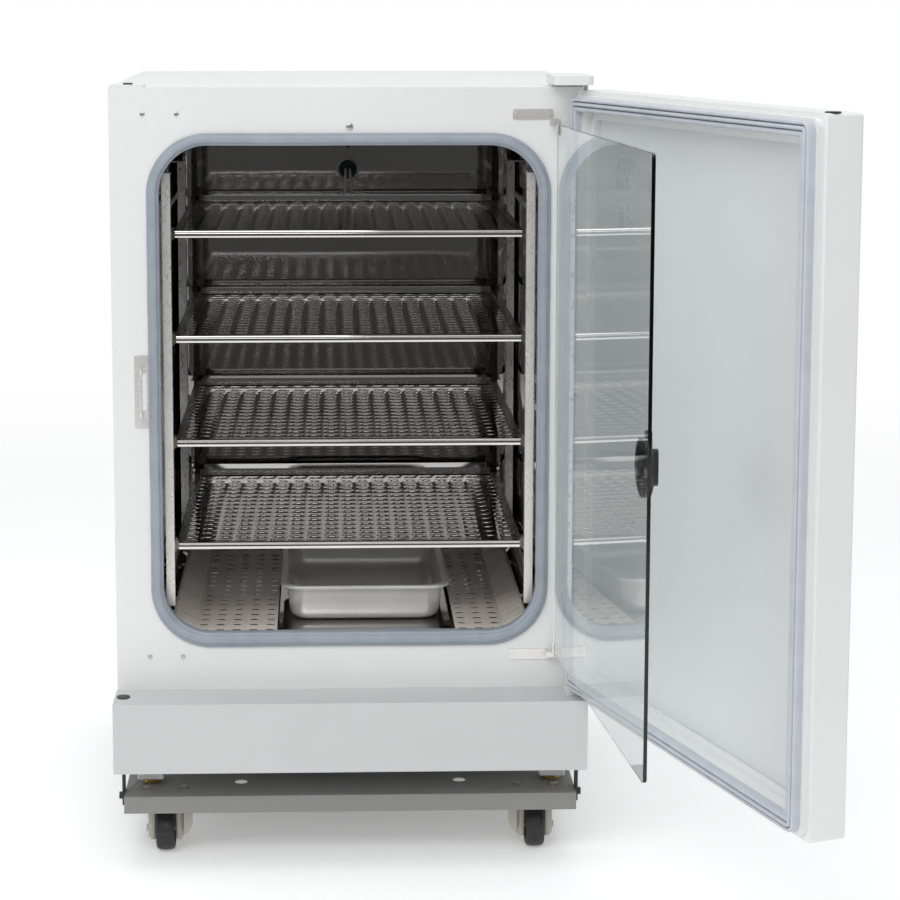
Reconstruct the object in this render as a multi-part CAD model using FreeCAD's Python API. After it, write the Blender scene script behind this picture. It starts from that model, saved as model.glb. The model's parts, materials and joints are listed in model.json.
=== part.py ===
"""Laboratory CO2 incubator on a roller base, standing with both of its doors open.

Millimetres. While the pieces are made, X = 0 is the middle of the cabinet, Y = 0 is the
plane of its front frame (-Y is towards the user) and Z = 0 is the floor. At the end every
piece is shifted sideways so that the origin is under the middle of the whole bounding box.
Doors, latch and everything on them are drawn closed and then swung to their rest angle.
"""

import FreeCAD, Part

import json
import math
import os

V = FreeCAD.Vector
UP = V(0, 0, 1)

# ---- driving dimensions -------------------------------------------------------------
HALF_W = 318.5  # half of the cabinet's width
DEPTH = 624.0
TOP = 1056.0  # top of the cabinet above the floor
CONSOLE_TOP = 234.5
BODY_BOTTOM = 138.5
CONSOLE_FRONT = -70.5
SHEET = 1.5  # painted steel sheet
DECK_RISE = 0.6  # the stacking area is pressed up this far out of the cabinet's top
FRAME_T = 2.0  # front frame plate

CHAMBER_HALF = 262.0
CEILING = TOP - 66.0
FLOOR = TOP - 760.0
CHAMBER_BACK = 548.0
CHAMBER_R = 62.0
LINER_T = 1.2
BACK_R = 22.0  # radius where the chamber's walls meet its back

SEAL_OUT = (270.0, TOP - 761.5, TOP - 60.5, 82.0)  # half width, bottom, top, radius
SEAL_IN = (253.5, TOP - 741.0, TOP - 77.0, 65.0)
SEAL_PROUD = 9.0

SHELF_TOPS = [TOP - 193.7 - 143.3 * i for i in range(4)]
SHELF_HALF = 234.5
SHELF_FRONT = 34.0
SHELF_BACK = 500.0
SHELF_RIM = 10.0
PLATE_DROP = 3.0  # the perforated plate lies this far below the front rim's top
SLOT_L = 9.6
SLOT_W = 4.6
SLOT_PITCH = 24.5
ROW_PITCH = 27.0
SLOT_COLUMNS = 19
SLOT_ROWS = 17

RAIL_HALF = 237.2  # outer face of the shelf channels
POST_X = 245.6
POST_W = 11.5
FRONT_POST_Y = 30.0
REAR_POST_Y = 380.0
POST_TOP = TOP - 117.0
POST_BOTTOM = TOP - 710.0

PAN_X = 22.5
PAN_W = 240.0
PAN_FRONT = 110.0
PAN_BACK = 450.0
PAN_RIM = TOP - 706.4

DOOR_PIN = V(312, -27.5, 0)
DOOR_ANGLE = 108.7  # how far the outer door stands open
DOOR_BOTTOM = CONSOLE_TOP + 3.0
DOOR_TOP = TOP - 3.0
DOOR_IN = -20.0
DOOR_OUT = -65.4
PIN_R = 3.5
RUN_FIT = 0.05
PLUG_R = 8.9  # plug over the spare hinge bore, for a door hung on the other side
PLUG_STEM_R = 6.0
PLUG_AT = V(-DOOR_PIN.x + 3, DOOR_PIN.y - 4, DOOR_TOP)

GLASS_PIVOT = V(279, -12, 0)
GLASS_ANGLE = 95.2
GLASS_LEFT = -275.5
GLASS_BOTTOM = TOP - 768.0
GLASS_TOP = TOP - 50.0
GLASS_IN = -9.5
GLASS_T = 4.5
KNUCKLE_R = 3.0
GLASS_PIN_R = 1.6

LATCH_X = -241.0
LATCH_Z = TOP - 408.0

TRAY_TOP = 91.0
TRAY_BOTTOM = 67.0
TRAY_HALF = 310.0
TRAY_FRONT = -25.0
TRAY_BACK = 604.0

CASTOR_X = 256.0
CASTOR_Y = (48.0, 550.0)
FOOT_XS = (-277.0, 281.0)
FOOT_Y_OUT = 7.0  # feet stand this far outside the castors' swivel axes
BOLT_SPAN = (26.0, 38.0)  # half spacing of a castor plate's bolts along X and Y
CASTOR_TRAIL = 25.0
WHEEL_R = 30.0
WHEEL_W = 26.0

PIECES = {}


# ---- shape helpers --------------------------------------------------------------------
def box(x0, x1, y0, y1, z0, z1):
    return Part.makeBox(x1 - x0, y1 - y0, z1 - z0, V(x0, y0, z0))


def rod(radius, start, direction, length):
    return Part.makeCylinder(radius, length, start, direction)


def fuse(*shapes):
    return shapes[0].multiFuse(list(shapes[1:])).removeSplitter()


def cut(shape, *tools):
    return shape.cut(Part.makeCompound(list(tools)))


def group(*shapes):
    """Several separate solids that share one node."""
    return Part.makeCompound([s for shape in shapes for s in shape.Solids])


def mirrored(shape):
    return shape.mirror(V(0, 0, 0), V(1, 0, 0))


def outline(half_x, y0, y1, radius, x=0.0):
    """A rounded rectangle in the XY plane."""
    x0, x1, k = x - half_x, x + half_x, radius * (1 - math.sqrt(0.5))
    if radius <= 0:
        return Part.makePolygon([V(x0, y0), V(x1, y0), V(x1, y1), V(x0, y1), V(x0, y0)])
    r = radius
    edges = [
        Part.makeLine(V(x0 + r, y0), V(x1 - r, y0)),
        Part.Arc(V(x1 - r, y0), V(x1 - k, y0 + k), V(x1, y0 + r)).toShape(),
        Part.makeLine(V(x1, y0 + r), V(x1, y1 - r)),
        Part.Arc(V(x1, y1 - r), V(x1 - k, y1 - k), V(x1 - r, y1)).toShape(),
        Part.makeLine(V(x1 - r, y1), V(x0 + r, y1)),
        Part.Arc(V(x0 + r, y1), V(x0 + k, y1 - k), V(x0, y1 - r)).toShape(),
        Part.makeLine(V(x0, y1 - r), V(x0, y0 + r)),
        Part.Arc(V(x0, y0 + r), V(x0 + k, y0 + k), V(x0 + r, y0)).toShape(),
    ]
    return Part.Wire(edges)


def slot(x, y, length, width):
    """A round-ended slot along X in the XY plane."""
    h, r = length / 2 - width / 2, width / 2
    return Part.Wire(
        [
            Part.makeLine(V(x - h, y - r), V(x + h, y - r)),
            Part.Arc(V(x + h, y - r), V(x + h + r, y), V(x + h, y + r)).toShape(),
            Part.makeLine(V(x + h, y + r), V(x - h, y + r)),
            Part.Arc(V(x - h, y + r), V(x - h - r, y), V(x - h, y - r)).toShape(),
        ]
    )


def plate(wires, thickness):
    """A sheet in the XY plane: the first wire is its edge, the others are holes."""
    face = Part.makeFace(list(wires), "Part::FaceMakerBullseye")
    return face.extrude(V(0, 0, thickness))


def slab(size, y0, y1):
    """A rounded upright block: size is (half width, bottom, top, radius)."""
    half, z0, z1, radius = size
    block = plate([outline(half, z0, z1, radius)], y1 - y0)
    block.rotate(V(0, 0, 0), V(1, 0, 0), 90)
    block.translate(V(0, y1, 0))
    return block


def grown(size, by):
    half, z0, z1, radius = size
    return (half + by, z0 - by, z1 + by, max(radius + by, 0))


def ring(outer, inner, y0, y1):
    return slab(outer, y0, y1).cut(slab(inner, y0, y1))


def tray_box(x, half_x, y0, y1, z0, z1, radius, taper=0.0):
    """A rounded block standing on z0, narrower at the bottom by taper on each side."""
    if not taper:
        block = plate([outline(half_x, y0, y1, radius, x)], z1 - z0)
        block.translate(V(0, 0, z0))
        return block
    low = outline(half_x - taper, y0 + taper, y1 - taper, radius - taper / 2, x)
    high = outline(half_x, y0, y1, radius, x)
    low.translate(V(0, 0, z0))
    high.translate(V(0, 0, z1))
    return Part.makeLoft([low, high], True, True)


def swung(shape, pivot, angle):
    turned = shape.copy()
    turned.rotate(pivot, UP, angle)
    return turned


def on_door(shape):
    return swung(shape, DOOR_PIN, DOOR_ANGLE)


def on_glass(shape):
    return swung(shape, GLASS_PIVOT, GLASS_ANGLE)


def screw(x, y, z, direction, head_r=3.4, head_t=1.6, shank_r=2.0, shank=1.9):
    """A pan-head screw whose head stands out along direction from (x, y, z)."""
    at = V(x, y, z)
    head = rod(head_r, at, direction, head_t)
    recess = rod(head_r * 0.42, at + direction * (head_t - 0.7), direction, 0.8)
    return fuse(head.cut(recess), rod(shank_r, at - direction * shank, direction, shank))


# ---- cabinet -----------------------------------------------------------------------------
CHAMBER = (CHAMBER_HALF, FLOOR, CEILING, CHAMBER_R)
PORT = V(4, 0, TOP - 149.5)  # axis of the sensor port in the back wall
PORT_R = 14.0
FAN_AT = V(0, 420, 0)
FAN_SHAFT_R = 3.0
FRAME_SCREWS = [(-273.5, TOP - 35.5), (-228.5, TOP - 35.5), (-273.5, TOP - 775), (-228.5, TOP - 775)]
CENTRE_SCREW = (1.0, TOP - 52.1)


def rounded_back(size, y0, y1, radius):
    """An upright rounded block with the edge round its back face rolled over."""
    block = slab(size, y0, y1)
    edges = [e for e in block.Edges if min(v.Y for v in e.Vertexes) > y1 - 0.01]
    return block.makeFillet(radius, edges)


def in_chamber(shape):
    """The part of a shape that lies inside the chamber's walls."""
    return shape.common(slab(CHAMBER, FRAME_T, CHAMBER_BACK))


def cabinet():
    outer = box(-HALF_W, HALF_W, FRAME_T, DEPTH, CONSOLE_TOP, TOP)
    inner = box(-HALF_W + SHEET, HALF_W - SHEET, FRAME_T, DEPTH - SHEET, CONSOLE_TOP, TOP - SHEET)
    port = rod(PORT_R, PORT, V(0, 1, 0), DEPTH + 1)
    deck = tray_box(0, 300, 66, DEPTH - 8, TOP - SHEET, TOP + DECK_RISE, 12)
    PIECES["cabinet_shell"] = cut(fuse(outer.cut(inner), deck), port)

    hollow = rounded_back(CHAMBER, FRAME_T, CHAMBER_BACK, BACK_R)
    wall = rounded_back(grown(CHAMBER, LINER_T), FRAME_T, CHAMBER_BACK + LINER_T, BACK_R + LINER_T)
    collar = rod(PORT_R + 4, V(PORT.x, CHAMBER_BACK - 1.5, PORT.z), V(0, 1, 0), 1.5)
    shaft_hole = rod(FAN_SHAFT_R + 2, FAN_AT + V(0, 0, CEILING - 1), UP, LINER_T + 2)
    PIECES["chamber_liner"] = cut(fuse(wall.cut(hollow), collar), port, shaft_hole)

    motor_room = rod(36, FAN_AT + V(0, 0, CEILING + LINER_T), UP, 50)
    PIECES["insulation"] = cut(inner, wall, port, motor_room)

    plate_size = (HALF_W, CONSOLE_TOP, TOP, 0)
    frame = ring(plate_size, grown(SEAL_IN, 4.5), 0, FRAME_T)
    holes = [rod(2.1, V(x, -1, z), V(0, 1, 0), 4) for x, z in FRAME_SCREWS + [CENTRE_SCREW]]
    PIECES["front_frame"] = cut(frame, *holes)

    flange = ring(SEAL_OUT, SEAL_IN, -5, 0)
    lip = ring(grown(SEAL_OUT, -4), grown(SEAL_IN, 3), -SEAL_PROUD, -5)
    tongue = ring(grown(SEAL_IN, 4.2), SEAL_IN, 0, 9)
    PIECES["chamber_gasket"] = fuse(flange, lip, tongue)

    screws = [screw(x, 0, z, V(0, -1, 0)) for x, z in FRAME_SCREWS]
    x, z = CENTRE_SCREW
    centre = screw(x, 0, z, V(0, -1, 0), head_r=5, head_t=2.4)
    PIECES["frame_screws"] = group(centre, *screws)


def bent_bar(x, y0, y1, z0, z1, bend, radius):
    """A round bar that leaves y0, turns along Z at y1 and comes back."""
    k = bend * (1 - math.sqrt(0.5))
    feet = [V(x, y0, z0), V(x, y1 + bend, z0), V(x, y1, z0 + bend)]
    feet += [V(x, y1, z1 - bend), V(x, y1 + bend, z1), V(x, y0, z1)]
    lines = [Part.makeLine(feet[i], feet[i + 1]) for i in (0, 2, 4)]
    low = Part.Arc(feet[1], V(x, y1 + k, z0 + k), feet[2]).toShape()
    high = Part.Arc(feet[3], V(x, y1 + k, z1 - k), feet[4]).toShape()
    path = Part.Wire([lines[0], low, lines[1], high, lines[2]])
    end = Part.Wire([Part.makeCircle(radius, feet[0], V(0, 1, 0))])
    return path.makePipeShell([end], True, False)


def strike():
    z = LATCH_Z
    base = ring((11.5, z - 49.5, z + 49.5, 3), (5.0, z - 26, z + 26, 2), -SHEET, 0)
    base.translate(V(-277.5, 0, 0))
    x, front, reach, bend = -278.5, -24.5, 31.0, 5.0
    bar = bent_bar(x, -SHEET, front, z - reach, z + reach, bend, 1.6)
    heads = [screw(-277.5, -SHEET, z + s * 42, V(0, -1, 0), 3.4, 1.4, 2, 0) for s in (-1, 1)]
    PIECES["strike_plate"] = fuse(base, bar, *heads)
    seat = slab((11.5, z - 49.5, z + 49.5, 3), -SHEET, 0)
    seat.translate(V(-277.5, 0, 0))
    PIECES["chamber_gasket"] = PIECES["chamber_gasket"].cut(seat)


def port_fittings():
    plug = rod(PORT_R - 0.1, V(PORT.x, CHAMBER_BACK - 8, PORT.z), V(0, 1, 0), DEPTH - CHAMBER_BACK + 8)
    cap = rod(PORT_R + 7, V(PORT.x, DEPTH, PORT.z), V(0, 1, 0), 5)
    holes = [rod(2, V(PORT.x + x, 0, PORT.z), V(0, 1, 0), DEPTH) for x in (-4, 3)]
    PIECES["sensor_stopper"] = cut(fuse(plug, cap), *holes)
    PIECES["sensor_probes"] = group(*[probe(x, lean) for x, lean in ((-4, -1.5), (3, 2.5))])


def probe(x, lean):
    """A steel rod out of the stopper that bends down, with a thicker sensing tip."""
    bend, face = 5.0, CHAMBER_BACK - 8
    start = V(PORT.x + x, face + 20, PORT.z)
    turn = V(PORT.x + x, face - 7, PORT.z)
    k = bend * math.sqrt(0.5)
    middle = turn + V(0, -k, -bend + k)
    corner = turn + V(0, -bend, -bend)
    end = corner + V(lean, 0, -28)
    spine = Part.Wire([Part.makeLine(start, turn), Part.Arc(turn, middle, corner).toShape()])
    circle = Part.Wire([Part.makeCircle(2, start, V(0, 1, 0))])
    elbow = spine.makePipeShell([circle], True, False)
    drop = end - corner
    tip = rod(2.6, end, drop, 6)
    return fuse(elbow, rod(2, corner, drop, drop.Length), tip)


def fan():
    ceiling = CEILING + LINER_T
    motor = rod(35.5, FAN_AT + V(0, 0, ceiling), UP, 44)
    bore = rod(FAN_SHAFT_R + RUN_FIT, FAN_AT + V(0, 0, ceiling), UP, 22)
    PIECES["fan_motor"] = motor.cut(bore)

    hub_z, blade_h = CEILING - 26, 20
    parts = [rod(16, FAN_AT + V(0, 0, hub_z), UP, blade_h)]
    parts.append(rod(58, FAN_AT + V(0, 0, hub_z + blade_h), UP, 1.2))
    parts.append(rod(FAN_SHAFT_R, FAN_AT + V(0, 0, hub_z), UP, ceiling + 20 - hub_z))
    for i in range(14):
        blade = box(14, 57, -0.6, 0.6, hub_z, hub_z + blade_h)
        blade.rotate(V(0, 0, 0), UP, 360 / 14 * i)
        blade.translate(FAN_AT)
        parts.append(blade)
    PIECES["fan_impeller"] = fuse(*parts)

    guard_z = CEILING - 33
    grille = Part.Wire([Part.makeCircle(68, V(0, 0, 0), UP)])
    slots = [slot(x, y, SLOT_L, SLOT_W) for x in range(-48, 49, 16) for y in range(-48, 49, 8)
             if math.hypot(x, y) < 56]
    disc = plate([grille, *slots], 1.2)
    disc.translate(FAN_AT + V(0, 0, guard_z))
    feet = []
    for angle in (45, 135, 225, 315):
        leg = rod(2.5, V(63.5, 0, guard_z + 1), UP, CEILING - guard_z - 1)
        leg.rotate(V(0, 0, 0), UP, angle)
        leg.translate(FAN_AT)
        feet.append(leg)
    PIECES["fan_guard"] = fuse(disc, *feet)


# ---- rack, shelves, pan and baffles ---------------------------------------------------------
def channel(x0, x1, y0, y1, z0, z1, wall, open_to):
    """A length of U-section along Z or Y, open towards -X or +X."""
    shell = box(x0, x1, y0, y1, z0, z1)
    low, high = (x0 + wall, x1) if open_to > 0 else (x0, x1 - wall)
    if z1 - z0 > y1 - y0:
        return shell.cut(box(low, high, y0 + wall, y1 - wall, z0, z1))
    return shell.cut(box(low, high, y0, y1, z0 + wall, z1 - wall))


def rack():
    half = POST_W / 2
    posts = []
    for y, top in ((FRONT_POST_Y, POST_TOP), (REAR_POST_Y, POST_TOP - 9)):
        post = channel(POST_X - half, POST_X + half, y - 6, y + 6, POST_BOTTOM, top, 1.2, 1)
        hook = box(POST_X - half - 1, CHAMBER_HALF, y - 8, y + 8, top, top + 1.5)
        posts.append(fuse(post, hook))
    braces = [
        box(POST_X + half - 1.2, POST_X + half, FRONT_POST_Y + 6, REAR_POST_Y - 6, z, z + 8)
        for z in (POST_BOTTOM + 20, POST_TOP - 60)
    ]
    right = in_chamber(fuse(*posts, *braces))
    PIECES["rack_posts"] = group(mirrored(right), right)

    inner_post = POST_X - half
    rails = []
    for top in SHELF_TOPS:
        z1 = top - 1.0
        z0 = z1 - SHELF_RIM
        rail = channel(RAIL_HALF - 10.4, RAIL_HALF, SHELF_FRONT + 13, SHELF_BACK + 4, z0, z1, 1.2, -1)
        clips = [
            box(RAIL_HALF, inner_post, y - 5, y + 5, z0 - 3, z1 + 4)
            for y in (FRONT_POST_Y + 22, REAR_POST_Y)
        ]
        tab = box(inner_post - 1.2, inner_post, FRONT_POST_Y + 6, FRONT_POST_Y + 18, z0 - 3, z1 + 4)
        rails.append(fuse(rail, *clips, tab))
    right = group(*rails)
    PIECES["shelf_rails"] = group(mirrored(right), right)

    knob_at = V(CHAMBER_HALF - 12, 92, CEILING - 42)
    knob = rod(8, knob_at, V(1, 0, 0), 9)
    stem = rod(3, knob_at + V(9, 0, 0), V(1, 0, 0), 3)
    right = in_chamber(fuse(knob, stem))
    PIECES["rack_knobs"] = group(mirrored(right), right)


def shelf():
    """A perforated plate with a deep front rim, turned-down sides and a turned-up back.

    The top of its front rim is at Z = 0.
    """
    top, z = 0.0, -PLATE_DROP
    t = 1.0
    first = -(SLOT_COLUMNS - 1) / 2 * SLOT_PITCH
    y0 = SHELF_FRONT + 16.5
    wires = [outline(SHELF_HALF, SHELF_FRONT + 1, SHELF_BACK, 0)]
    wires += [
        slot(first + SLOT_PITCH * i, y0 + ROW_PITCH * j, SLOT_L, SLOT_W)
        for i in range(SLOT_COLUMNS)
        for j in range(SLOT_ROWS)
    ]
    sheet = plate(wires, t)
    sheet.translate(V(0, 0, z - t))
    front = box(-SHELF_HALF, SHELF_HALF, SHELF_FRONT, SHELF_FRONT + 1.2, top - SHELF_RIM, top)
    hem = box(-SHELF_HALF, SHELF_HALF, SHELF_FRONT, SHELF_FRONT + 9, top - 1.2, top)
    fall = box(-SHELF_HALF, SHELF_HALF, SHELF_FRONT + 7.8, SHELF_FRONT + 9, z - t, top)
    lower = box(-SHELF_HALF + 2, SHELF_HALF - 2, SHELF_FRONT, SHELF_FRONT + 6, top - SHELF_RIM,
                top - SHELF_RIM + 1)
    back = box(-RAIL_HALF + 12, RAIL_HALF - 12, SHELF_BACK - 1.2, SHELF_BACK, z - t, top + 8.5)
    sides = [
        box(s * (SHELF_HALF - 0.6) - 0.6, s * (SHELF_HALF - 0.6) + 0.6, SHELF_FRONT + 14,
            SHELF_BACK - 1, top - 9.4, z - t)
        for s in (-1, 1)
    ]
    return fuse(sheet, front, hem, fall, lower, back, *sides)


def pan():
    wall = 0.9
    outer = tray_box(PAN_X, PAN_W / 2 - 9, PAN_FRONT + 9, PAN_BACK - 9, FLOOR + 0.4, PAN_RIM, 26, 5)
    inner = tray_box(PAN_X, PAN_W / 2 - 9 - wall, PAN_FRONT + 9 + wall, PAN_BACK - 9 - wall,
                     FLOOR + 0.4 + wall, PAN_RIM + 0.01, 25, 5)
    rim = plate([outline(PAN_W / 2, PAN_FRONT, PAN_BACK, 30, PAN_X),
                 outline(PAN_W / 2 - 9.5, PAN_FRONT + 9.5, PAN_BACK - 9.5, 25.5, PAN_X)], 1.2)
    rim.translate(V(0, 0, PAN_RIM - 1.2))
    roll = plate([outline(PAN_W / 2, PAN_FRONT, PAN_BACK, 30, PAN_X),
                  outline(PAN_W / 2 - 1.2, PAN_FRONT + 1.2, PAN_BACK - 1.2, 28.8, PAN_X)], 4)
    roll.translate(V(0, 0, PAN_RIM - 4))
    PIECES["water_pan"] = fuse(outer, rim, roll).cut(inner)


BAFFLE_OUT = 212.0  # where the sloping side baffles meet the flat ones
BAFFLE_Z = FLOOR + 14.0
BAFFLE_Y = (14.0, 500.0)


def floor_baffle(x0, x1, columns):
    t = 1.0
    mid, half = (x0 + x1) / 2, (x1 - x0) / 2
    wires = [outline(half, BAFFLE_Y[0], BAFFLE_Y[1], 0, mid)]
    wires += [
        slot(mid + (i - (columns - 1) / 2) * 23.0, 30 + ROW_PITCH * j, SLOT_L, SLOT_W)
        for i in range(columns)
        for j in range(17)
    ]
    sheet = plate(wires, t)
    sheet.translate(V(0, 0, BAFFLE_Z - t))
    legs = [
        box(x0, x1, BAFFLE_Y[0], BAFFLE_Y[0] + t, FLOOR, BAFFLE_Z),
        box(x0, x1, BAFFLE_Y[1] - t, BAFFLE_Y[1], FLOOR, BAFFLE_Z),
    ]
    return in_chamber(fuse(sheet, *legs))


def side_baffle():
    """A perforated strip that slopes up from the flat baffle to the wall, on the right."""
    rise, run = 16.0, 29.0
    tilt = math.degrees(math.atan2(rise, run))
    width = math.hypot(rise, run)
    length = BAFFLE_Y[1] - BAFFLE_Y[0]
    wires = [outline(width / 2, 0, length, 0, width / 2)]
    wires += [
        slot(x, 16 + ROW_PITCH * j, 6.5, SLOT_W) for x in (9, 23) for j in range(17)
    ]
    sheet = plate(wires, 1.0)
    sheet.rotate(V(0, 0, 0), V(0, 1, 0), -tilt)
    sheet.translate(V(BAFFLE_OUT + 0.6, BAFFLE_Y[0], BAFFLE_Z - 0.8))
    edge_x = BAFFLE_OUT + 0.6 + run
    edge_z = BAFFLE_Z - 0.8 + rise
    hem = box(edge_x - 1.5, edge_x + 3, BAFFLE_Y[0], BAFFLE_Y[1], edge_z - 1.2, edge_z + 1.4)
    ends = [box(edge_x, edge_x + 3, y, y + 6, FLOOR + 12, edge_z) for y in (BAFFLE_Y[0], BAFFLE_Y[1] - 6)]
    stay = [box(edge_x + 3, CHAMBER_HALF, y, y + 6, edge_z - 8, edge_z) for y in (150, 350)]
    return in_chamber(fuse(sheet, hem, *ends, *stay))


def baffles():
    gap = 3.0
    left = floor_baffle(-BAFFLE_OUT, PAN_X - PAN_W / 2 - gap, 5)
    right = floor_baffle(PAN_X + PAN_W / 2 + gap, BAFFLE_OUT, 3)
    PIECES["floor_baffles"] = group(left, right)
    slope = side_baffle()
    PIECES["side_baffles"] = group(mirrored(slope), slope)


# ---- lower housing and what is inside it --------------------------------------------------
INLET = V(-190, DEPTH, 185)
ROCKER = V(-130, DEPTH, 185)
GAS = V(190, DEPTH, 185)


def lower_housing():
    outer = box(-HALF_W, HALF_W, 0, DEPTH - SHEET, BODY_BOTTOM, CONSOLE_TOP)
    inner = box(-HALF_W + SHEET, HALF_W - SHEET, SHEET, DEPTH, BODY_BOTTOM + SHEET, CONSOLE_TOP - SHEET)
    PIECES["base_housing"] = outer.cut(inner)

    half = HALF_W + 1.0
    cover = box(-half, half, CONSOLE_FRONT, 0, BODY_BOTTOM, CONSOLE_TOP)
    room = box(-half + SHEET, half - SHEET, CONSOLE_FRONT + SHEET, 0, BODY_BOTTOM + SHEET,
               CONSOLE_TOP - SHEET)
    hinge_hole = rod(8.0, V(-307.5, -35, CONSOLE_TOP - 5), UP, 10)
    PIECES["console_cover"] = cut(cover, room, hinge_hole)
    plug_top = rod(8.9, V(-307.5, -35, CONSOLE_TOP), UP, 1.6)
    plug_stem = rod(7.8, V(-307.5, -35, CONSOLE_TOP - 4), UP, 4)
    deck_plug = rod(6.5, V(-294, 26, TOP + 3), UP, 2)
    PIECES["blanking_plugs"] = group(fuse(plug_top, plug_stem), deck_plug)

    board = box(60, 250, 120, 260, BODY_BOTTOM + 10, BODY_BOTTOM + 11.6)
    feet = [rod(4, V(x, y, BODY_BOTTOM + SHEET), UP, 8.5) for x in (70, 240) for y in (130, 250)]
    chips = [box(90 + 40 * i, 115 + 40 * i, 160, 190, BODY_BOTTOM + 11.6, BODY_BOTTOM + 18 + 6 * i)
             for i in range(3)]
    supply = box(-240, -80, 120, 230, BODY_BOTTOM + SHEET, BODY_BOTTOM + 52)
    valve = fuse(
        box(160, 210, 420, 450, BODY_BOTTOM + SHEET, BODY_BOTTOM + 40),
        rod(11, V(185, 435, BODY_BOTTOM + 40), UP, 34),
    )
    PIECES["electronics"] = group(fuse(board, *feet, *chips), supply, valve)

    back = box(-HALF_W, HALF_W, DEPTH - SHEET, DEPTH, BODY_BOTTOM, CONSOLE_TOP)
    openings = [
        box(INLET.x - 13.5, INLET.x + 13.5, DEPTH - 5, DEPTH + 5, INLET.z - 10, INLET.z + 10),
        box(ROCKER.x - 10.5, ROCKER.x + 10.5, DEPTH - 5, DEPTH + 5, ROCKER.z - 14, ROCKER.z + 14),
        rod(5, V(GAS.x, DEPTH - 5, GAS.z), V(0, 1, 0), 10),
    ]
    louvres = [
        box(-60 + 22 * i, -44 + 22 * i, DEPTH - 5, DEPTH + 5, z, z + 4)
        for i in range(7)
        for z in (165, 177, 189, 201)
    ]
    PIECES["rear_panel"] = cut(back, *openings, *louvres)


def rear_fittings():
    body = box(INLET.x - 13.3, INLET.x + 13.3, DEPTH - 22, DEPTH, INLET.z - 9.8, INLET.z + 9.8)
    flange = box(INLET.x - 20, INLET.x + 20, DEPTH, DEPTH + 2.5, INLET.z - 14, INLET.z + 14)
    socket = box(INLET.x - 10.5, INLET.x + 10.5, DEPTH - 16, DEPTH + 3, INLET.z - 7, INLET.z + 7)
    blades = [
        box(INLET.x + x - 1, INLET.x + x + 1, DEPTH - 16, DEPTH - 2, INLET.z + z - 2.5, INLET.z + z + 2.5)
        for x, z in ((-6, -1.5), (0, 2), (6, -1.5))
    ]
    inlet = fuse(fuse(body, flange).cut(socket), *blades)

    frame = box(ROCKER.x - 10.3, ROCKER.x + 10.3, DEPTH - 16, DEPTH, ROCKER.z - 13.8, ROCKER.z + 13.8)
    bezel = box(ROCKER.x - 12.5, ROCKER.x + 12.5, DEPTH, DEPTH + 2, ROCKER.z - 16, ROCKER.z + 16)
    well = box(ROCKER.x - 8.8, ROCKER.x + 8.8, DEPTH - 13.5, DEPTH + 3, ROCKER.z - 12.2, ROCKER.z + 12.2)
    PIECES["mains_inlet"] = group(inlet, fuse(frame, bezel).cut(well))
    blade = Part.makeCylinder(11.4, 17.0, V(ROCKER.x - 8.5, DEPTH - 6, ROCKER.z), V(1, 0, 0))
    face = box(ROCKER.x - 9, ROCKER.x + 9, DEPTH - 11, DEPTH + 3.5, ROCKER.z - 11, ROCKER.z + 11)
    PIECES["power_rocker"] = blade.common(face)

    barb = [rod(4.9, GAS + V(0, -12, 0), V(0, 1, 0), 12), rod(8, GAS, V(0, 1, 0), 5)]
    barb += [Part.makeCone(4.6, 3.4, 6, GAS + V(0, 5 + 6 * i, 0), V(0, 1, 0)) for i in range(3)]
    PIECES["gas_inlet"] = fuse(*barb).cut(rod(2, GAS + V(0, -13, 0), V(0, 1, 0), 40))


# ---- outer door ---------------------------------------------------------------------------
def hinge_hardware():
    z = TOP + 5.0
    arm = plate([outline(26, -66, 58, 9, 293)], 11.5)
    arm.translate(V(0, 0, z))
    foot = box(270, 316, 6, 56, TOP, z)
    socket = rod(PIN_R, V(DOOR_PIN.x, DOOR_PIN.y, z), UP, 8)
    left = plate([outline(22.5, 3, 56, 4, -294.5)], 3)
    left.translate(V(0, 0, TOP))
    lower = plate([outline(13, -44, -4, 4, 306)], 2)
    lower.translate(V(0, 0, CONSOLE_TOP))
    lower_hole = rod(PIN_R, V(DOOR_PIN.x, DOOR_PIN.y, CONSOLE_TOP), UP, 3)
    PIECES["hinge_brackets"] = group(fuse(arm, foot).cut(socket), left, lower.cut(lower_hole))
    top_pin = rod(PIN_R, V(DOOR_PIN.x, DOOR_PIN.y, DOOR_TOP - 22), UP, z + 8 - DOOR_TOP + 22)
    low_pin = rod(PIN_R, V(DOOR_PIN.x, DOOR_PIN.y, CONSOLE_TOP), UP, 25)
    PIECES["hinge_pins"] = group(top_pin, low_pin)


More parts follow.
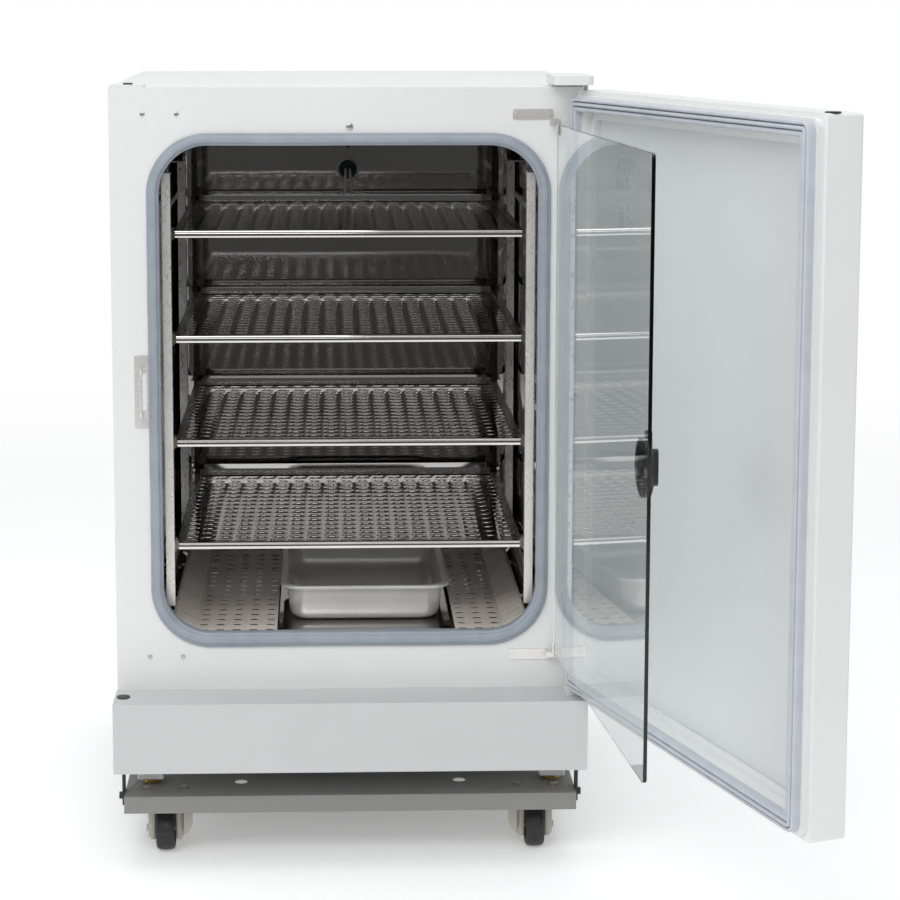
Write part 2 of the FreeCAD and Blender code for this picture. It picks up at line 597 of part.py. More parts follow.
def outer_door():
    size = (HALF_W, DOOR_BOTTOM, DOOR_TOP, 5)
    seat = (312.0, DOOR_BOTTOM + 6, DOOR_TOP - 6, 12)
    well = (292.0, DOOR_BOTTOM + 26, DOOR_TOP - 26, 16)
    ledge = (281.0, DOOR_BOTTOM + 37, DOOR_TOP - 37, 12)
    shell = slab(size, DOOR_OUT, DOOR_IN)
    front = [e for e in shell.Edges if max(v.Y for v in e.Vertexes) < DOOR_OUT + 0.01]
    shell = shell.makeFillet(4.0, front)
    hollow = slab(grown(size, -SHEET), DOOR_OUT + SHEET, DOOR_IN)
    pin_top = V(DOOR_PIN.x, DOOR_PIN.y, DOOR_TOP - 24)
    pin_low = V(DOOR_PIN.x, DOOR_PIN.y, DOOR_BOTTOM)
    bores = [rod(PIN_R + RUN_FIT, pin_top, UP, 25), rod(PIN_R + RUN_FIT, pin_low - V(0, 0, 1), UP, 25)]
    blocks = [
        box(301, HALF_W - SHEET, -38, -22, DOOR_TOP - 24, DOOR_TOP - SHEET),
        box(301, HALF_W - SHEET, -38, -22, DOOR_BOTTOM + SHEET, DOOR_BOTTOM + 24),
    ]
    lip = ring(grown(size, -SHEET), seat, DOOR_IN - SHEET, DOOR_IN)
    bores.append(rod(PLUG_STEM_R, PLUG_AT - V(0, 0, SHEET + 1), UP, SHEET + 2))
    body = cut(fuse(shell.cut(hollow), lip, *blocks), *bores)
    PIECES["door_shell"] = on_door(body)

    form = fuse(slab(seat, -22, -12), slab(well, -38, -22))
    pocket = fuse(slab(grown(well, -2), -26, -12), slab(ledge, -36, -26))
    liner = cut(form, pocket)
    PIECES["door_liner"] = on_door(cut(liner, body))
    PIECES["door_panel"] = on_door(slab(grown(ledge, -0.3), -36, -34))

    seal_out = (308.0, DOOR_BOTTOM + 9, DOOR_TOP - 9, 14)
    seal_in = (290.5, DOOR_BOTTOM + 26.5, DOOR_TOP - 26.5, 6)
    base = ring(seal_out, seal_in, -12, -5.5)
    ribs = [
        ring(grown(seal_out, -a), grown(seal_out, -b), -5.5, y)
        for a, b, y in ((0, 4.4, -1.6), (5.6, 10.4, -0.4), (11.6, 17.0, -1.6))
    ]
    PIECES["door_gasket"] = on_door(fuse(base, *ribs))


PANEL_X, PANEL_Z = 0.0, TOP - 110.0
KEY_XS = (55.0, 78.0)


def door_front():
    """The controls and grip on the door's outer face, and the plug in its top."""
    bezel = slab((100, PANEL_Z - 38, PANEL_Z + 38, 8), DOOR_OUT - 6, DOOR_OUT)
    window = slab((34, PANEL_Z - 24, PANEL_Z + 24, 3), DOOR_OUT - 7, DOOR_OUT - 4.5)
    window.translate(V(-42, 0, 0))
    wells = [rod(7.5, V(x, DOOR_OUT - 7, PANEL_Z), V(0, 1, 0), 6) for x in KEY_XS]
    PIECES["control_bezel"] = on_door(cut(bezel, window, *wells))
    for i, x in enumerate(KEY_XS):
        key = rod(7.2, V(x, DOOR_OUT - 7.5, PANEL_Z), V(0, 1, 0), 4.3)
        PIECES[f"key_{i + 1}"] = on_door(key)

    grip_x, z0, z1 = -254.0, TOP - 470, TOP - 310
    bar = slab((7, z0, z1, 6.9), DOOR_OUT - 28, DOOR_OUT - 18)
    bar.translate(V(grip_x, 0, 0))
    legs = [box(grip_x - 6, grip_x + 6, DOOR_OUT - 20, DOOR_OUT, z, z + 12) for z in (z0 + 8, z1 - 20)]
    plug = fuse(rod(PLUG_R, PLUG_AT, UP, 1.4), rod(PLUG_STEM_R, PLUG_AT - V(0, 0, 5), UP, 5))
    PIECES["door_handle"] = on_door(group(fuse(bar, *legs), plug))


# ---- inner glass door ------------------------------------------------------------------
def glass_door():
    right = GLASS_PIVOT.x - 2.0
    mid, half = (GLASS_LEFT + right) / 2, (right - GLASS_LEFT) / 2
    pane = slab((half, GLASS_BOTTOM, GLASS_TOP, 6), GLASS_IN - GLASS_T, GLASS_IN)
    pane.translate(V(mid, 0, 0))
    hole = rod(5, V(LATCH_X, GLASS_IN - GLASS_T - 1, LATCH_Z), V(0, 1, 0), GLASS_T + 2)
    notches = [
        box(GLASS_PIVOT.x - 6, GLASS_PIVOT.x + 2, -20, 0, z0, z1)
        for z0, z1 in ((GLASS_TOP - 13, GLASS_TOP + 1), (GLASS_BOTTOM - 1, GLASS_BOTTOM + 13))
    ]
    PIECES["glass_panel"] = on_glass(cut(pane, hole, *notches))

    clamps, plates = [], []
    for sign, edge, leaf_gap in ((1, GLASS_TOP, 7), (-1, GLASS_BOTTOM, 0)):
        z0, z1 = sorted((edge - sign * 12.8, edge - sign * 0.5))
        outer = box(GLASS_PIVOT.x - 16, GLASS_PIVOT.x - 6, -16, GLASS_IN - GLASS_T, z0, z1)
        inner = box(GLASS_PIVOT.x - 12, GLASS_PIVOT.x - 6, GLASS_IN, -7, z0, z1)
        knuckle = rod(KNUCKLE_R, V(GLASS_PIVOT.x, GLASS_PIVOT.y, z0), UP, z1 - z0)
        web = box(GLASS_PIVOT.x - 6, GLASS_PIVOT.x - 1, -16, -8, z0, z1)
        bore = rod(GLASS_PIN_R + RUN_FIT, V(GLASS_PIVOT.x, GLASS_PIVOT.y, z0 - 1), UP, z1 - z0 + 2)
        clamps.append(fuse(outer, inner, knuckle, web).cut(bore))

        p0, p1 = sorted((edge + sign * leaf_gap, edge + sign * (leaf_gap + 14)))
        leaf = plate([outline(27, p0, p1, 3, GLASS_PIVOT.x - 34)], 2)
        leaf.rotate(V(0, 0, 0), V(1, 0, 0), 90)
        middle = (p0 + p1) / 2
        spots = (GLASS_PIVOT.x - 56, GLASS_PIVOT.x - 12)
        heads = [screw(x, -2, middle, V(0, -1, 0), 3.2, 1.4, 2, 0) for x in spots]
        ear0, ear1 = sorted((edge + sign * 1.0, edge + sign * 8.5))
        ear = box(GLASS_PIVOT.x - 12, GLASS_PIVOT.x - 4, -15, 0, ear0 + 1, ear1)
        eye = rod(KNUCKLE_R, V(GLASS_PIVOT.x, GLASS_PIVOT.y, ear0), UP, ear1 - ear0)
        arm = box(GLASS_PIVOT.x - 8, GLASS_PIVOT.x - 1, -14.5, -9.5, ear0, ear1)
        pin0, pin1 = sorted((edge - sign * 11, edge + sign * 6))
        pin = rod(GLASS_PIN_R, V(GLASS_PIVOT.x, GLASS_PIVOT.y, pin0), UP, pin1 - pin0)
        plates.append(fuse(leaf, ear, eye, arm, pin, *heads))
    PIECES["glass_clamps"] = on_glass(group(*clamps))
    PIECES["glass_hinge_plates"] = group(*plates)


def latch():
    """A turn latch: disc on the glass, lever with a finger that slips behind the strike bar."""
    face = GLASS_IN - GLASS_T
    centre = V(LATCH_X, 0, LATCH_Z)
    out = V(0, -1, 0)
    disc = rod(34, centre + V(0, face, 0), out, 4)
    boss = rod(4.8, centre + V(0, GLASS_IN + 2, 0), out, GLASS_T + 3)
    nut = rod(9, centre + V(0, GLASS_IN + 2, 0), out, 2)
    bore = rod(2.5 + RUN_FIT, centre + V(0, -19, 0), V(0, 1, 0), 9)
    PIECES["latch_base"] = on_glass(fuse(disc, boss, nut).cut(bore))

    level = face - 4.3
    hub = rod(15, centre + V(0, level, 0), out, 3.4)
    finger = box(-5, 5, 0, 3.2, 0, 38)
    tip = rod(5, V(0, 3.2, 38), out, 3.2)
    arm = fuse(finger, tip)
    arm.translate(V(LATCH_X, level - 3.3, LATCH_Z))
    grip = slab((6, LATCH_Z - 21.5, LATCH_Z + 21.5, 5.9), level - 10.7, level - 3.4)
    grip.translate(V(LATCH_X, 0, 0))
    spindle = rod(2.5, centre + V(0, level, 0), V(0, 1, 0), 8)
    PIECES["latch_handle"] = on_glass(fuse(hub, arm, grip, spindle))


# ---- roller base --------------------------------------------------------------------------
def roller_base():
    wall = 2.0
    mid, half_y = (TRAY_FRONT + TRAY_BACK) / 2, (TRAY_BACK - TRAY_FRONT) / 2
    outer = box(-TRAY_HALF, TRAY_HALF, mid - half_y, mid + half_y, TRAY_BOTTOM, TRAY_TOP)
    inner = box(-TRAY_HALF + wall, TRAY_HALF - wall, mid - half_y + wall, mid + half_y - wall,
                TRAY_BOTTOM, TRAY_TOP - wall)
    holes = [rod(9, V(s * 152, 36, TRAY_BOTTOM), UP, 40) for s in (-1, 1)]
    bolt_holes = [rod(3.1, V(x, y, TRAY_BOTTOM), UP, 40) for x, y in bolt_places()]
    PIECES["roller_base"] = cut(outer, inner, *holes, *bolt_holes)

    straps = []
    for y in (-2.0, 560.0):
        strip = box(TRAY_HALF, TRAY_HALF + 3, y - 12, y + 12, 76, BODY_BOTTOM)
        foot = box(TRAY_HALF - 12, TRAY_HALF, y - 12, y + 12, BODY_BOTTOM - 3, BODY_BOTTOM)
        knob = rod(5, V(TRAY_HALF + 3, y, 86), V(1, 0, 0), 5)
        straps.append(fuse(strip, foot, knob))
    right = group(*straps)
    PIECES["base_straps"] = group(mirrored(right), right)

    feet = []
    for x in FOOT_XS:
        for y in (CASTOR_Y[0] - FOOT_Y_OUT, CASTOR_Y[1] + FOOT_Y_OUT):
            pad = rod(13.5, V(x, y, TRAY_TOP), UP, 8)
            block = plate([outline(18, y - 18, y + 18, 2, x)], 7)
            block.translate(V(0, 0, TRAY_TOP + 8))
            feet.append(fuse(pad, block, rod(7, V(x, y, TRAY_TOP + 15), UP, BODY_BOTTOM - TRAY_TOP - 15)))
    PIECES["levelling_feet"] = group(*feet)


def bolt_places():
    return [place for s in (-1, 1) for y in CASTOR_Y for place in plate_bolts(s, y)]


def plate_bolts(s, y):
    dx, dy = BOLT_SPAN
    return [(s * CASTOR_X + i * dx, y + j * dy) for i in (-1, 1) for j in (-1, 1)]


def castors():
    sheet_z = TRAY_TOP - 2.0
    plates = []
    for s in (-1, 1):
        for y in CASTOR_Y:
            x = s * CASTOR_X
            top = plate([outline(34, y - 46, y + 46, 5, x)], 3)
            top.translate(V(0, 0, sheet_z - 3))
            race = rod(20, V(x, y, sheet_z - 9), UP, 6)
            kingpin = rod(5, V(x, y, sheet_z - 22), UP, 14)
            holes = [rod(3.1, V(*place, sheet_z - 5), UP, 8) for place in plate_bolts(s, y)]
            plates.append(cut(fuse(top, race, kingpin), *holes))
    bolts = [
        fuse(rod(5.5, V(x, y, TRAY_TOP), UP, 3.2), rod(3, V(x, y, TRAY_TOP - 9), UP, 9))
        for x, y in bolt_places()
    ]
    PIECES["castor_plates"] = group(*plates)
    PIECES["castor_bolts"] = group(*bolts)

    for name, s, y in castor_names():
        x = s * CASTOR_X
        axle_y = y - CASTOR_TRAIL
        crown = rod(20, V(x, y, sheet_z - 20), UP, 10.5)
        bridge = box(x - 24, x + 24, axle_y - 12, y + 12, 64, sheet_z - 18)
        legs = [
            box(x + e * 19.5 - 5, x + e * 19.5 + 5, axle_y - 11, axle_y + 22, WHEEL_R - 15, 64)
            for e in (-1, 1)
        ]
        axle = rod(4, V(x - 28, axle_y, WHEEL_R), V(1, 0, 0), 56)
        bore = rod(5 + RUN_FIT, V(x, y, sheet_z - 24), UP, 20)
        clear = rod(WHEEL_R + 1, V(x - 14.3, axle_y, WHEEL_R), V(1, 0, 0), 28.6)
        solid = fuse(crown, bridge, *legs).cut(clear)
        PIECES[f"fork_{name}"] = fuse(solid, axle).cut(bore)

        tread = rod(WHEEL_R, V(x - WHEEL_W / 2, axle_y, WHEEL_R), V(1, 0, 0), WHEEL_W)
        rims = [e for e in tread.Edges if e.Curve.TypeId == "Part::GeomCircle"]
        tread = tread.makeFillet(5.0, rims)
        hub_hole = rod(4 + RUN_FIT, V(x - 20, axle_y, WHEEL_R), V(1, 0, 0), 40)
        PIECES[f"wheel_{name}"] = tread.cut(hub_hole)
        if name.startswith("front"):
            PIECES[f"brake_{name.split('_')[1]}"] = brake(x, axle_y, -s)


def castor_names():
    sides = (("left", -1), ("right", 1))
    rows = (("front", CASTOR_Y[0]), ("rear", CASTOR_Y[1]))
    return [(f"{row}_{side}", s, y) for row, y in rows for side, s in sides]


def brake(x, axle_y, inward):
    """A foot tab beside the fork's inner leg, turning on the end of the wheel's axle."""
    near, far = sorted((x + inward * 24.8, x + inward * 27.8))
    cheek = box(near, far, axle_y - 10, axle_y + 14, WHEEL_R - 9, WHEEL_R + 30)
    near, far = sorted((x + inward * 24.8, x + inward * 38))
    tab = box(near, far, axle_y - 16, axle_y - 10, WHEEL_R - 4, WHEEL_R + 30)
    bore = rod(4 + RUN_FIT, V(x - 40, axle_y, WHEEL_R), V(1, 0, 0), 80)
    return fuse(cheek, tab).cut(bore)


def write_pieces():
    whole = FreeCAD.BoundBox()
    for shape in PIECES.values():
        whole.add(shape.optimalBoundingBox(False, False))
    shift = V(-whole.Center.x, -whole.Center.y, -whole.ZMin)
    os.makedirs("parts", exist_ok=True)
    for name, shape in PIECES.items():
        moved = shape.copy()
        moved.translate(shift)
        moved.exportStep(f"parts/{name}.step")
    print("pieces", len(PIECES))
    print("shift_mm", json.dumps([round(v, 4) for v in (shift.x, shift.y, shift.z)]))
    print("size_mm", round(whole.XLength, 2), round(whole.YLength, 2), round(whole.ZLength, 2))


def main():
    cabinet()
    strike()
    port_fittings()
    fan()
    rack()
    one_shelf = shelf()
    for i, top in enumerate(SHELF_TOPS):
        PIECES[f"shelf_{i + 1}"] = one_shelf.translated(V(0, 0, top))
    pan()
    baffles()
    lower_housing()
    rear_fittings()
    hinge_hardware()
    outer_door()
    door_front()
    glass_door()
    latch()
    roller_base()
    castors()
    write_pieces()


main()
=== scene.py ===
import json
import math

import bmesh
import bpy
from mathutils import Matrix, Vector


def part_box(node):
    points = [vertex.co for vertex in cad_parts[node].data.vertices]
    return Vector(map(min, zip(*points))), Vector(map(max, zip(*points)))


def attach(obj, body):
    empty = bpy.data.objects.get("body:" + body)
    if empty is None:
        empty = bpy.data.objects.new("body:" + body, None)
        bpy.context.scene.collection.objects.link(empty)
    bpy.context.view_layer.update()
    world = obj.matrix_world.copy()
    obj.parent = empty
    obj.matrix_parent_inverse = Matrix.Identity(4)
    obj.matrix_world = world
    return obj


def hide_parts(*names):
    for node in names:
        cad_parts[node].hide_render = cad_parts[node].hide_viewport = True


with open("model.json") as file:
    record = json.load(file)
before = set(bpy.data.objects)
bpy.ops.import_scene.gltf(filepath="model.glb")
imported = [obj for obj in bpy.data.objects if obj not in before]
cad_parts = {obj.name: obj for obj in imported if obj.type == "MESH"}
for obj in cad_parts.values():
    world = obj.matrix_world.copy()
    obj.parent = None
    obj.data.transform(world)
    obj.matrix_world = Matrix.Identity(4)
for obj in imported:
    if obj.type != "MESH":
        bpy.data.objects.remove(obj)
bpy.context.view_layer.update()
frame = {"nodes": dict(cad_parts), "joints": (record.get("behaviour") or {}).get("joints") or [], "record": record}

MM = 0.001
NODES = frame["nodes"]
JOINTS = {j["name"]: j for j in frame["joints"]}

# ---- the cabinet's own axes: X = 0 is its middle, Y = 0 its front frame, Z = 0 the floor --------
SHELL_LO, SHELL_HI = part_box("cabinet_shell")
FRAME_LO, FRAME_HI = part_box("front_frame")
ORIGIN = Vector(((SHELL_LO.x + SHELL_HI.x) / 2, FRAME_LO.y, 0))
TOP = FRAME_HI.z / MM

DOOR_PIN = Vector(JOINTS["outer_door_hinge"]["pos_m"])
DOOR_SWING = -JOINTS["outer_door_hinge"]["range_deg"][0]


def turned(pin, angle):
    move = Matrix.Translation(pin)
    return move @ Matrix.Rotation(math.radians(angle), 4, "Z") @ move.inverted()


ON_CABINET = Matrix.Identity(4)
ON_DOOR = turned(Vector((DOOR_PIN.x, DOOR_PIN.y, 0)), DOOR_SWING)


# ---- camera, light, floor ------------------------------------------------------------------------
def link(name, data):
    obj = bpy.data.objects.new(name, data)
    bpy.context.scene.collection.objects.link(obj)
    return obj


LENS, SENSOR = 95.08, 36
SHIFT = (0.06, -0.15)
EYE = (-0.1522, -3.1733, 1.1848)
LOOKS_DOWN, LOOKS_RIGHT = 7.805, 1.731  # degrees


def make_camera():
    data = bpy.data.cameras.new("camera")
    data.lens, data.sensor_width = LENS, SENSOR
    data.shift_x, data.shift_y = SHIFT
    data.clip_start, data.clip_end = 0.05, 60
    cam = link("camera", data)
    cam.location = EYE
    cam.rotation_euler = (math.radians(90 - LOOKS_DOWN), 0, math.radians(-LOOKS_RIGHT))
    bpy.context.scene.camera = cam


def softbox(name, place, aim, size, power, mirrored=True):
    """An area light; one that isn't mirrored lights matt surfaces and leaves no patch in polished steel."""
    data = bpy.data.lights.new(name, "AREA")
    data.shape = "RECTANGLE"
    data.size, data.size_y = size
    data.energy = power
    lamp = link(name, data)
    lamp.location = place
    lamp.rotation_euler = (Vector(aim) - Vector(place)).to_track_quat("-Z", "Y").to_euler()
    lamp.visible_glossy = mirrored


def make_lights():
    softbox("key", (-1.0, -2.6, 2.8), (0, 0, 1.05), (2.2, 1.4), 34)
    softbox("front", (0.6, -4.4, 2.0), (0.0, 0, 0.8), (2.6, 1.2), 26, mirrored=False)
    softbox("left", (-3.2, -1.9, 1.5), (0.5, -0.3, 0.6), (1.4, 1.4), 12, mirrored=False)
    softbox("overhead", (0, 0.2, 3.4), (0, 0, 0), (3.0, 2.4), 34)


def make_world():
    """White to the camera; for light and reflections, a pale room with a dim band behind the camera."""
    world = bpy.data.worlds.new("studio")
    bpy.context.scene.world = world
    world.use_nodes = True
    tree = world.node_tree
    tree.nodes.clear()

    def new(kind, **settings):
        node = tree.nodes.new(kind)
        for key, value in settings.items():
            setattr(node, key, value)
        return node

    def span(source, low, high, start, end):
        node = new("ShaderNodeMapRange", interpolation_type="SMOOTHSTEP")
        for key, value in zip(("From Min", "From Max", "To Min", "To Max"), (low, high, start, end)):
            node.inputs[key].default_value = value
        tree.links.new(source, node.inputs["Value"])
        return node.outputs[0]

    def times(a, b):
        node = new("ShaderNodeMath", operation="MULTIPLY")
        tree.links.new(a, node.inputs[0])
        tree.links.new(b, node.inputs[1])
        return node.outputs[0]

    parts = new("ShaderNodeSeparateXYZ")
    tree.links.new(new("ShaderNodeTexCoord").outputs["Generated"], parts.inputs[0])
    towards_user = span(parts.outputs["Y"], -0.75, -0.1, 1.0, 0.0)
    over = span(parts.outputs["Z"], 0.2, 0.42, 1.0, 0.0)
    under = span(parts.outputs["Z"], -0.3, -0.12, 0.0, 1.0)
    band = times(towards_user, times(over, under))
    strength = span(band, 0.0, 1.0, 0.62, 0.09)

    room = new("ShaderNodeBackground")
    room.inputs["Color"].default_value = (0.975, 0.988, 1.0, 1)
    tree.links.new(strength, room.inputs["Strength"])
    plain = new("ShaderNodeBackground")
    plain.inputs["Color"].default_value = (1, 1, 1, 1)
    mix = new("ShaderNodeMixShader")
    tree.links.new(new("ShaderNodeLightPath").outputs["Is Camera Ray"], mix.inputs["Fac"])
    tree.links.new(room.outputs[0], mix.inputs[1])
    tree.links.new(plain.outputs[0], mix.inputs[2])
    tree.links.new(mix.outputs[0], new("ShaderNodeOutputWorld").inputs["Surface"])


def make_floor():
    mesh = bpy.data.meshes.new("floor")
    form = bmesh.new()
    bmesh.ops.create_circle(form, cap_ends=True, segments=96, radius=9.0)
    form.to_mesh(mesh)
    form.free()
    floor = link("floor", mesh)
    shader = Shader("studio_floor", (0.93, 0.93, 0.93), 0.65)
    shader.colour_by(shader.noise(3.0, 2), (0.925, 0.925, 0.925), (0.935, 0.935, 0.935))
    shader.set("Emission Color", (1, 1, 1, 1))
    shader.set("Emission Strength", 0.22)
    tree = shader.tree
    where = tree.nodes.new("ShaderNodeTexCoord")
    far = shader.length(where.outputs["Object"])
    fade = shader.ramp_value(far, 1.2, 4.2)
    clear = tree.nodes.new("ShaderNodeBsdfTransparent")
    mix = tree.nodes.new("ShaderNodeMixShader")
    shader.join(fade, mix.inputs["Fac"])
    shader.join(shader.surface.outputs[0], mix.inputs[1])
    shader.join(clear.outputs[0], mix.inputs[2])
    shader.join(mix.outputs[0], shader.out.inputs["Surface"])
    mesh.materials.append(shader.material)


# ---- materials -----------------------------------------------------------------------------------
class Shader:
    """A Principled material with helpers for its colour, roughness and relief."""

    def __init__(self, name, colour, roughness, metallic=0.0):
        self.material = bpy.data.materials.new(name)
        self.material.use_nodes = True
        self.tree = self.material.node_tree
        self.tree.nodes.clear()
        self.out = self.node("ShaderNodeOutputMaterial")
        self.surface = self.node("ShaderNodeBsdfPrincipled")
        self.join(self.surface.outputs[0], self.out.inputs["Surface"])
        self.set("Base Color", (*colour, 1))
        self.set("Roughness", roughness)
        self.set("Metallic", metallic)
        self.where = self.node("ShaderNodeTexCoord").outputs["Object"]
        self.normal = None

    def node(self, kind):
        return self.tree.nodes.new(kind)

    def join(self, a, b):
        self.tree.links.new(a, b)

    def set(self, socket, value):
        self.surface.inputs[socket].default_value = value

    def stretched(self, scale):
        if scale == (1, 1, 1):
            return self.where
        mapping = self.node("ShaderNodeMapping")
        mapping.inputs["Scale"].default_value = scale
        self.join(self.where, mapping.inputs["Vector"])
        return mapping.outputs[0]

    def noise(self, scale, detail=2.0, stretch=(1, 1, 1), rough=0.5):
        tex = self.node("ShaderNodeTexNoise")
        tex.inputs["Scale"].default_value = scale
        tex.inputs["Detail"].default_value = detail
        tex.inputs["Roughness"].default_value = rough
        self.join(self.stretched(stretch), tex.inputs["Vector"])
        return tex.outputs["Fac"]

    def cells(self, scale, randomness=1.0):
        tex = self.node("ShaderNodeTexVoronoi")
        tex.inputs["Scale"].default_value = scale
        tex.inputs["Randomness"].default_value = randomness
        self.join(self.where, tex.inputs["Vector"])
        return tex.outputs["Distance"]

    def length(self, vector):
        node = self.node("ShaderNodeVectorMath")
        node.operation = "LENGTH"
        self.join(vector, node.inputs[0])
        return node.outputs["Value"]

    def ramp_value(self, fac, low, high, start=0.0, end=1.0):
        node = self.node("ShaderNodeMapRange")
        node.interpolation_type = "SMOOTHSTEP"
        node.inputs["From Min"].default_value = low
        node.inputs["From Max"].default_value = high
        node.inputs["To Min"].default_value = start
        node.inputs["To Max"].default_value = end
        self.join(fac, node.inputs["Value"])
        return node.outputs[0]

    def colour_by(self, fac, dark, light, low=0.3, high=0.7):
        node = self.node("ShaderNodeValToRGB")
        node.color_ramp.elements[0].position = low
        node.color_ramp.elements[1].position = high
        node.color_ramp.elements[0].color = (*dark, 1)
        node.color_ramp.elements[1].color = (*light, 1)
        self.join(fac, node.inputs["Fac"])
        self.join(node.outputs["Color"], self.surface.inputs["Base Color"])
        return node.outputs["Color"]

    def rough_by(self, fac, smooth, rough, low=0.3, high=0.7):
        self.join(self.ramp_value(fac, low, high, smooth, rough), self.surface.inputs["Roughness"])

    def bump_by(self, fac, depth, strength=1.0):
        """Relief: depth is the height in metres that a full step of fac stands for."""
        node = self.node("ShaderNodeBump")
        node.inputs["Strength"].default_value = strength
        node.inputs["Distance"].default_value = depth
        self.join(fac, node.inputs["Height"])
        if self.normal is not None:
            self.join(self.normal, node.inputs["Normal"])
        self.normal = node.outputs["Normal"]
        self.join(self.normal, self.surface.inputs["Normal"])


def powder_coat(name, colour, roughness=0.42, grain=900, relief=0.00005):
    s = Shader(name, colour, roughness)
    dark = tuple(c * 0.975 for c in colour)
    s.colour_by(s.noise(7, 3), dark, colour)
    s.rough_by(s.noise(24, 3), roughness - 0.04, roughness + 0.05)
    s.bump_by(s.noise(grain, 2), relief, 0.55)
    s.bump_by(s.noise(grain * 0.22, 2), relief * 2.0, 0.3)
    return s.material


def polished_sheet(name, colour, roughness, wave_depth=0.0004, wave_scale=9):
    """Mirror-bright sheet: slow dents from rolling, faint streaks of the polish."""
    s = Shader(name, colour, roughness, 1.0)
    s.colour_by(s.noise(5, 3), tuple(c * 0.9 for c in colour), colour)
    streak = s.noise(60, 4, (1, 1, 18))
    s.rough_by(streak, roughness * 0.8, roughness * 1.25)
    s.bump_by(s.noise(wave_scale, 1), wave_depth, 0.6)
    s.bump_by(s.noise(420, 2, (1, 1, 14)), 0.000003, 0.4)
    return s.material


def satin_steel(name, colour=(0.60, 0.58, 0.56), roughness=0.3, stretch=(1, 14, 14), metal=1.0):
    """Fine grain along the axis whose stretch is 1; less metal stands for a coarser, matt brushing."""
    s = Shader(name, colour, roughness, metal)
    s.colour_by(s.noise(12, 3), tuple(c * 0.93 for c in colour), colour)
    s.rough_by(s.noise(90, 3, stretch), roughness * 0.85, roughness * 1.15)
    s.bump_by(s.noise(420, 2, stretch), 0.000006, 0.4)
    return s.material


def zinc_plate(name):
    s = Shader(name, (0.66, 0.66, 0.64), 0.28, 1.0)
    s.colour_by(s.cells(240), (0.52, 0.53, 0.54), (0.72, 0.71, 0.68), 0.1, 0.7)
    s.rough_by(s.noise(120, 3), 0.2, 0.4)
    s.bump_by(s.noise(700, 2), 0.00002, 0.6)
    return s.material


def turned_brass(name):
    s = Shader(name, (0.78, 0.60, 0.28), 0.22, 1.0)
    s.colour_by(s.noise(60, 3), (0.62, 0.45, 0.20), (0.80, 0.62, 0.30))
    s.rough_by(s.noise(300, 2, (1, 12, 1)), 0.16, 0.34)
    s.bump_by(s.noise(900, 2, (1, 8, 1)), 0.00002, 0.5)
    return s.material


def silicone(name, colour, roughness=0.55, relief=0.00003, dust=0.12):
    s = Shader(name, colour, roughness)
    pale = tuple(min(1, c + dust * (0.75 - c)) for c in colour)
    s.colour_by(s.noise(35, 5), tuple(c * 0.93 for c in colour), pale)
    s.rough_by(s.noise(80, 3), roughness - 0.08, roughness + 0.1)
    s.bump_by(s.noise(1100, 2), relief, 0.6)
    s.set("Specular IOR Level", 0.35)
    return s.material


def moulded(name, colour, roughness=0.45, grain=1300, relief=0.00004):
    """Moulded plastic with a fine eroded grain."""
    s = Shader(name, colour, roughness)
    pale = tuple(c * 1.12 + 0.004 for c in colour)
    s.colour_by(s.noise(40, 4), colour, pale)
    s.rough_by(s.noise(160, 3), roughness - 0.06, roughness + 0.08)
    s.bump_by(s.cells(grain), relief, 0.5)
    return s.material


def smooth_panel(name, colour, roughness=0.3):
    """Vacuum-formed sheet: even, with a very slow waviness in its gloss."""
    s = Shader(name, colour, roughness)
    s.colour_by(s.noise(2.2, 2), tuple(c * 0.97 for c in colour), colour)
    s.rough_by(s.noise(9, 3), roughness - 0.04, roughness + 0.06)
    s.bump_by(s.noise(6, 1), 0.0004, 0.35)
    s.bump_by(s.noise(800, 2), 0.00002, 0.3)
    return s.material


def clear_glass(name):
    """Toughened glass with a faint green body; light that only passes through isn't held back."""
    s = Shader(name, (0.955, 0.985, 0.978), 0.015)
    s.set("Transmission Weight", 1.0)
    s.set("IOR", 1.5)
    s.rough_by(s.noise(14, 3), 0.006, 0.03)
    s.bump_by(s.noise(3, 1), 0.0001, 0.2)
    straight = s.node("ShaderNodeBsdfTransparent")
    straight.inputs["Color"].default_value = (0.95, 0.975, 0.97, 1)
    mix = s.node("ShaderNodeMixShader")
    s.join(s.node("ShaderNodeLightPath").outputs["Is Shadow Ray"], mix.inputs["Fac"])
    s.join(s.surface.outputs[0], mix.inputs[1])
    s.join(straight.outputs[0], mix.inputs[2])
    s.join(mix.outputs[0], s.out.inputs["Surface"])
    return s.material


def tyre_rubber(name):
    s = Shader(name, (0.022, 0.022, 0.024), 0.5)
    s.colour_by(s.noise(120, 5), (0.012, 0.012, 0.013), (0.026, 0.026, 0.025))
    s.rough_by(s.noise(200, 3), 0.38, 0.62)
    s.bump_by(s.noise(1400, 3), 0.00006, 0.6)
    return s.material


def foam(name):
    s = Shader(name, (0.84, 0.74, 0.50), 0.85)
    s.colour_by(s.cells(420), (0.70, 0.60, 0.38), (0.88, 0.80, 0.58), 0.0, 0.7)
    s.rough_by(s.noise(200, 2), 0.75, 0.95)
    s.bump_by(s.cells(420), 0.0003, 0.7)
    return s.material


def circuit_board(name):
    s = Shader(name, (0.05, 0.2, 0.1), 0.4)
    s.colour_by(s.cells(160, 0.3), (0.03, 0.14, 0.07), (0.1, 0.3, 0.16), 0.3, 0.5)
    s.rough_by(s.noise(100, 2), 0.3, 0.5)
    s.bump_by(s.cells(160, 0.3), 0.0002, 0.5)
    return s.material


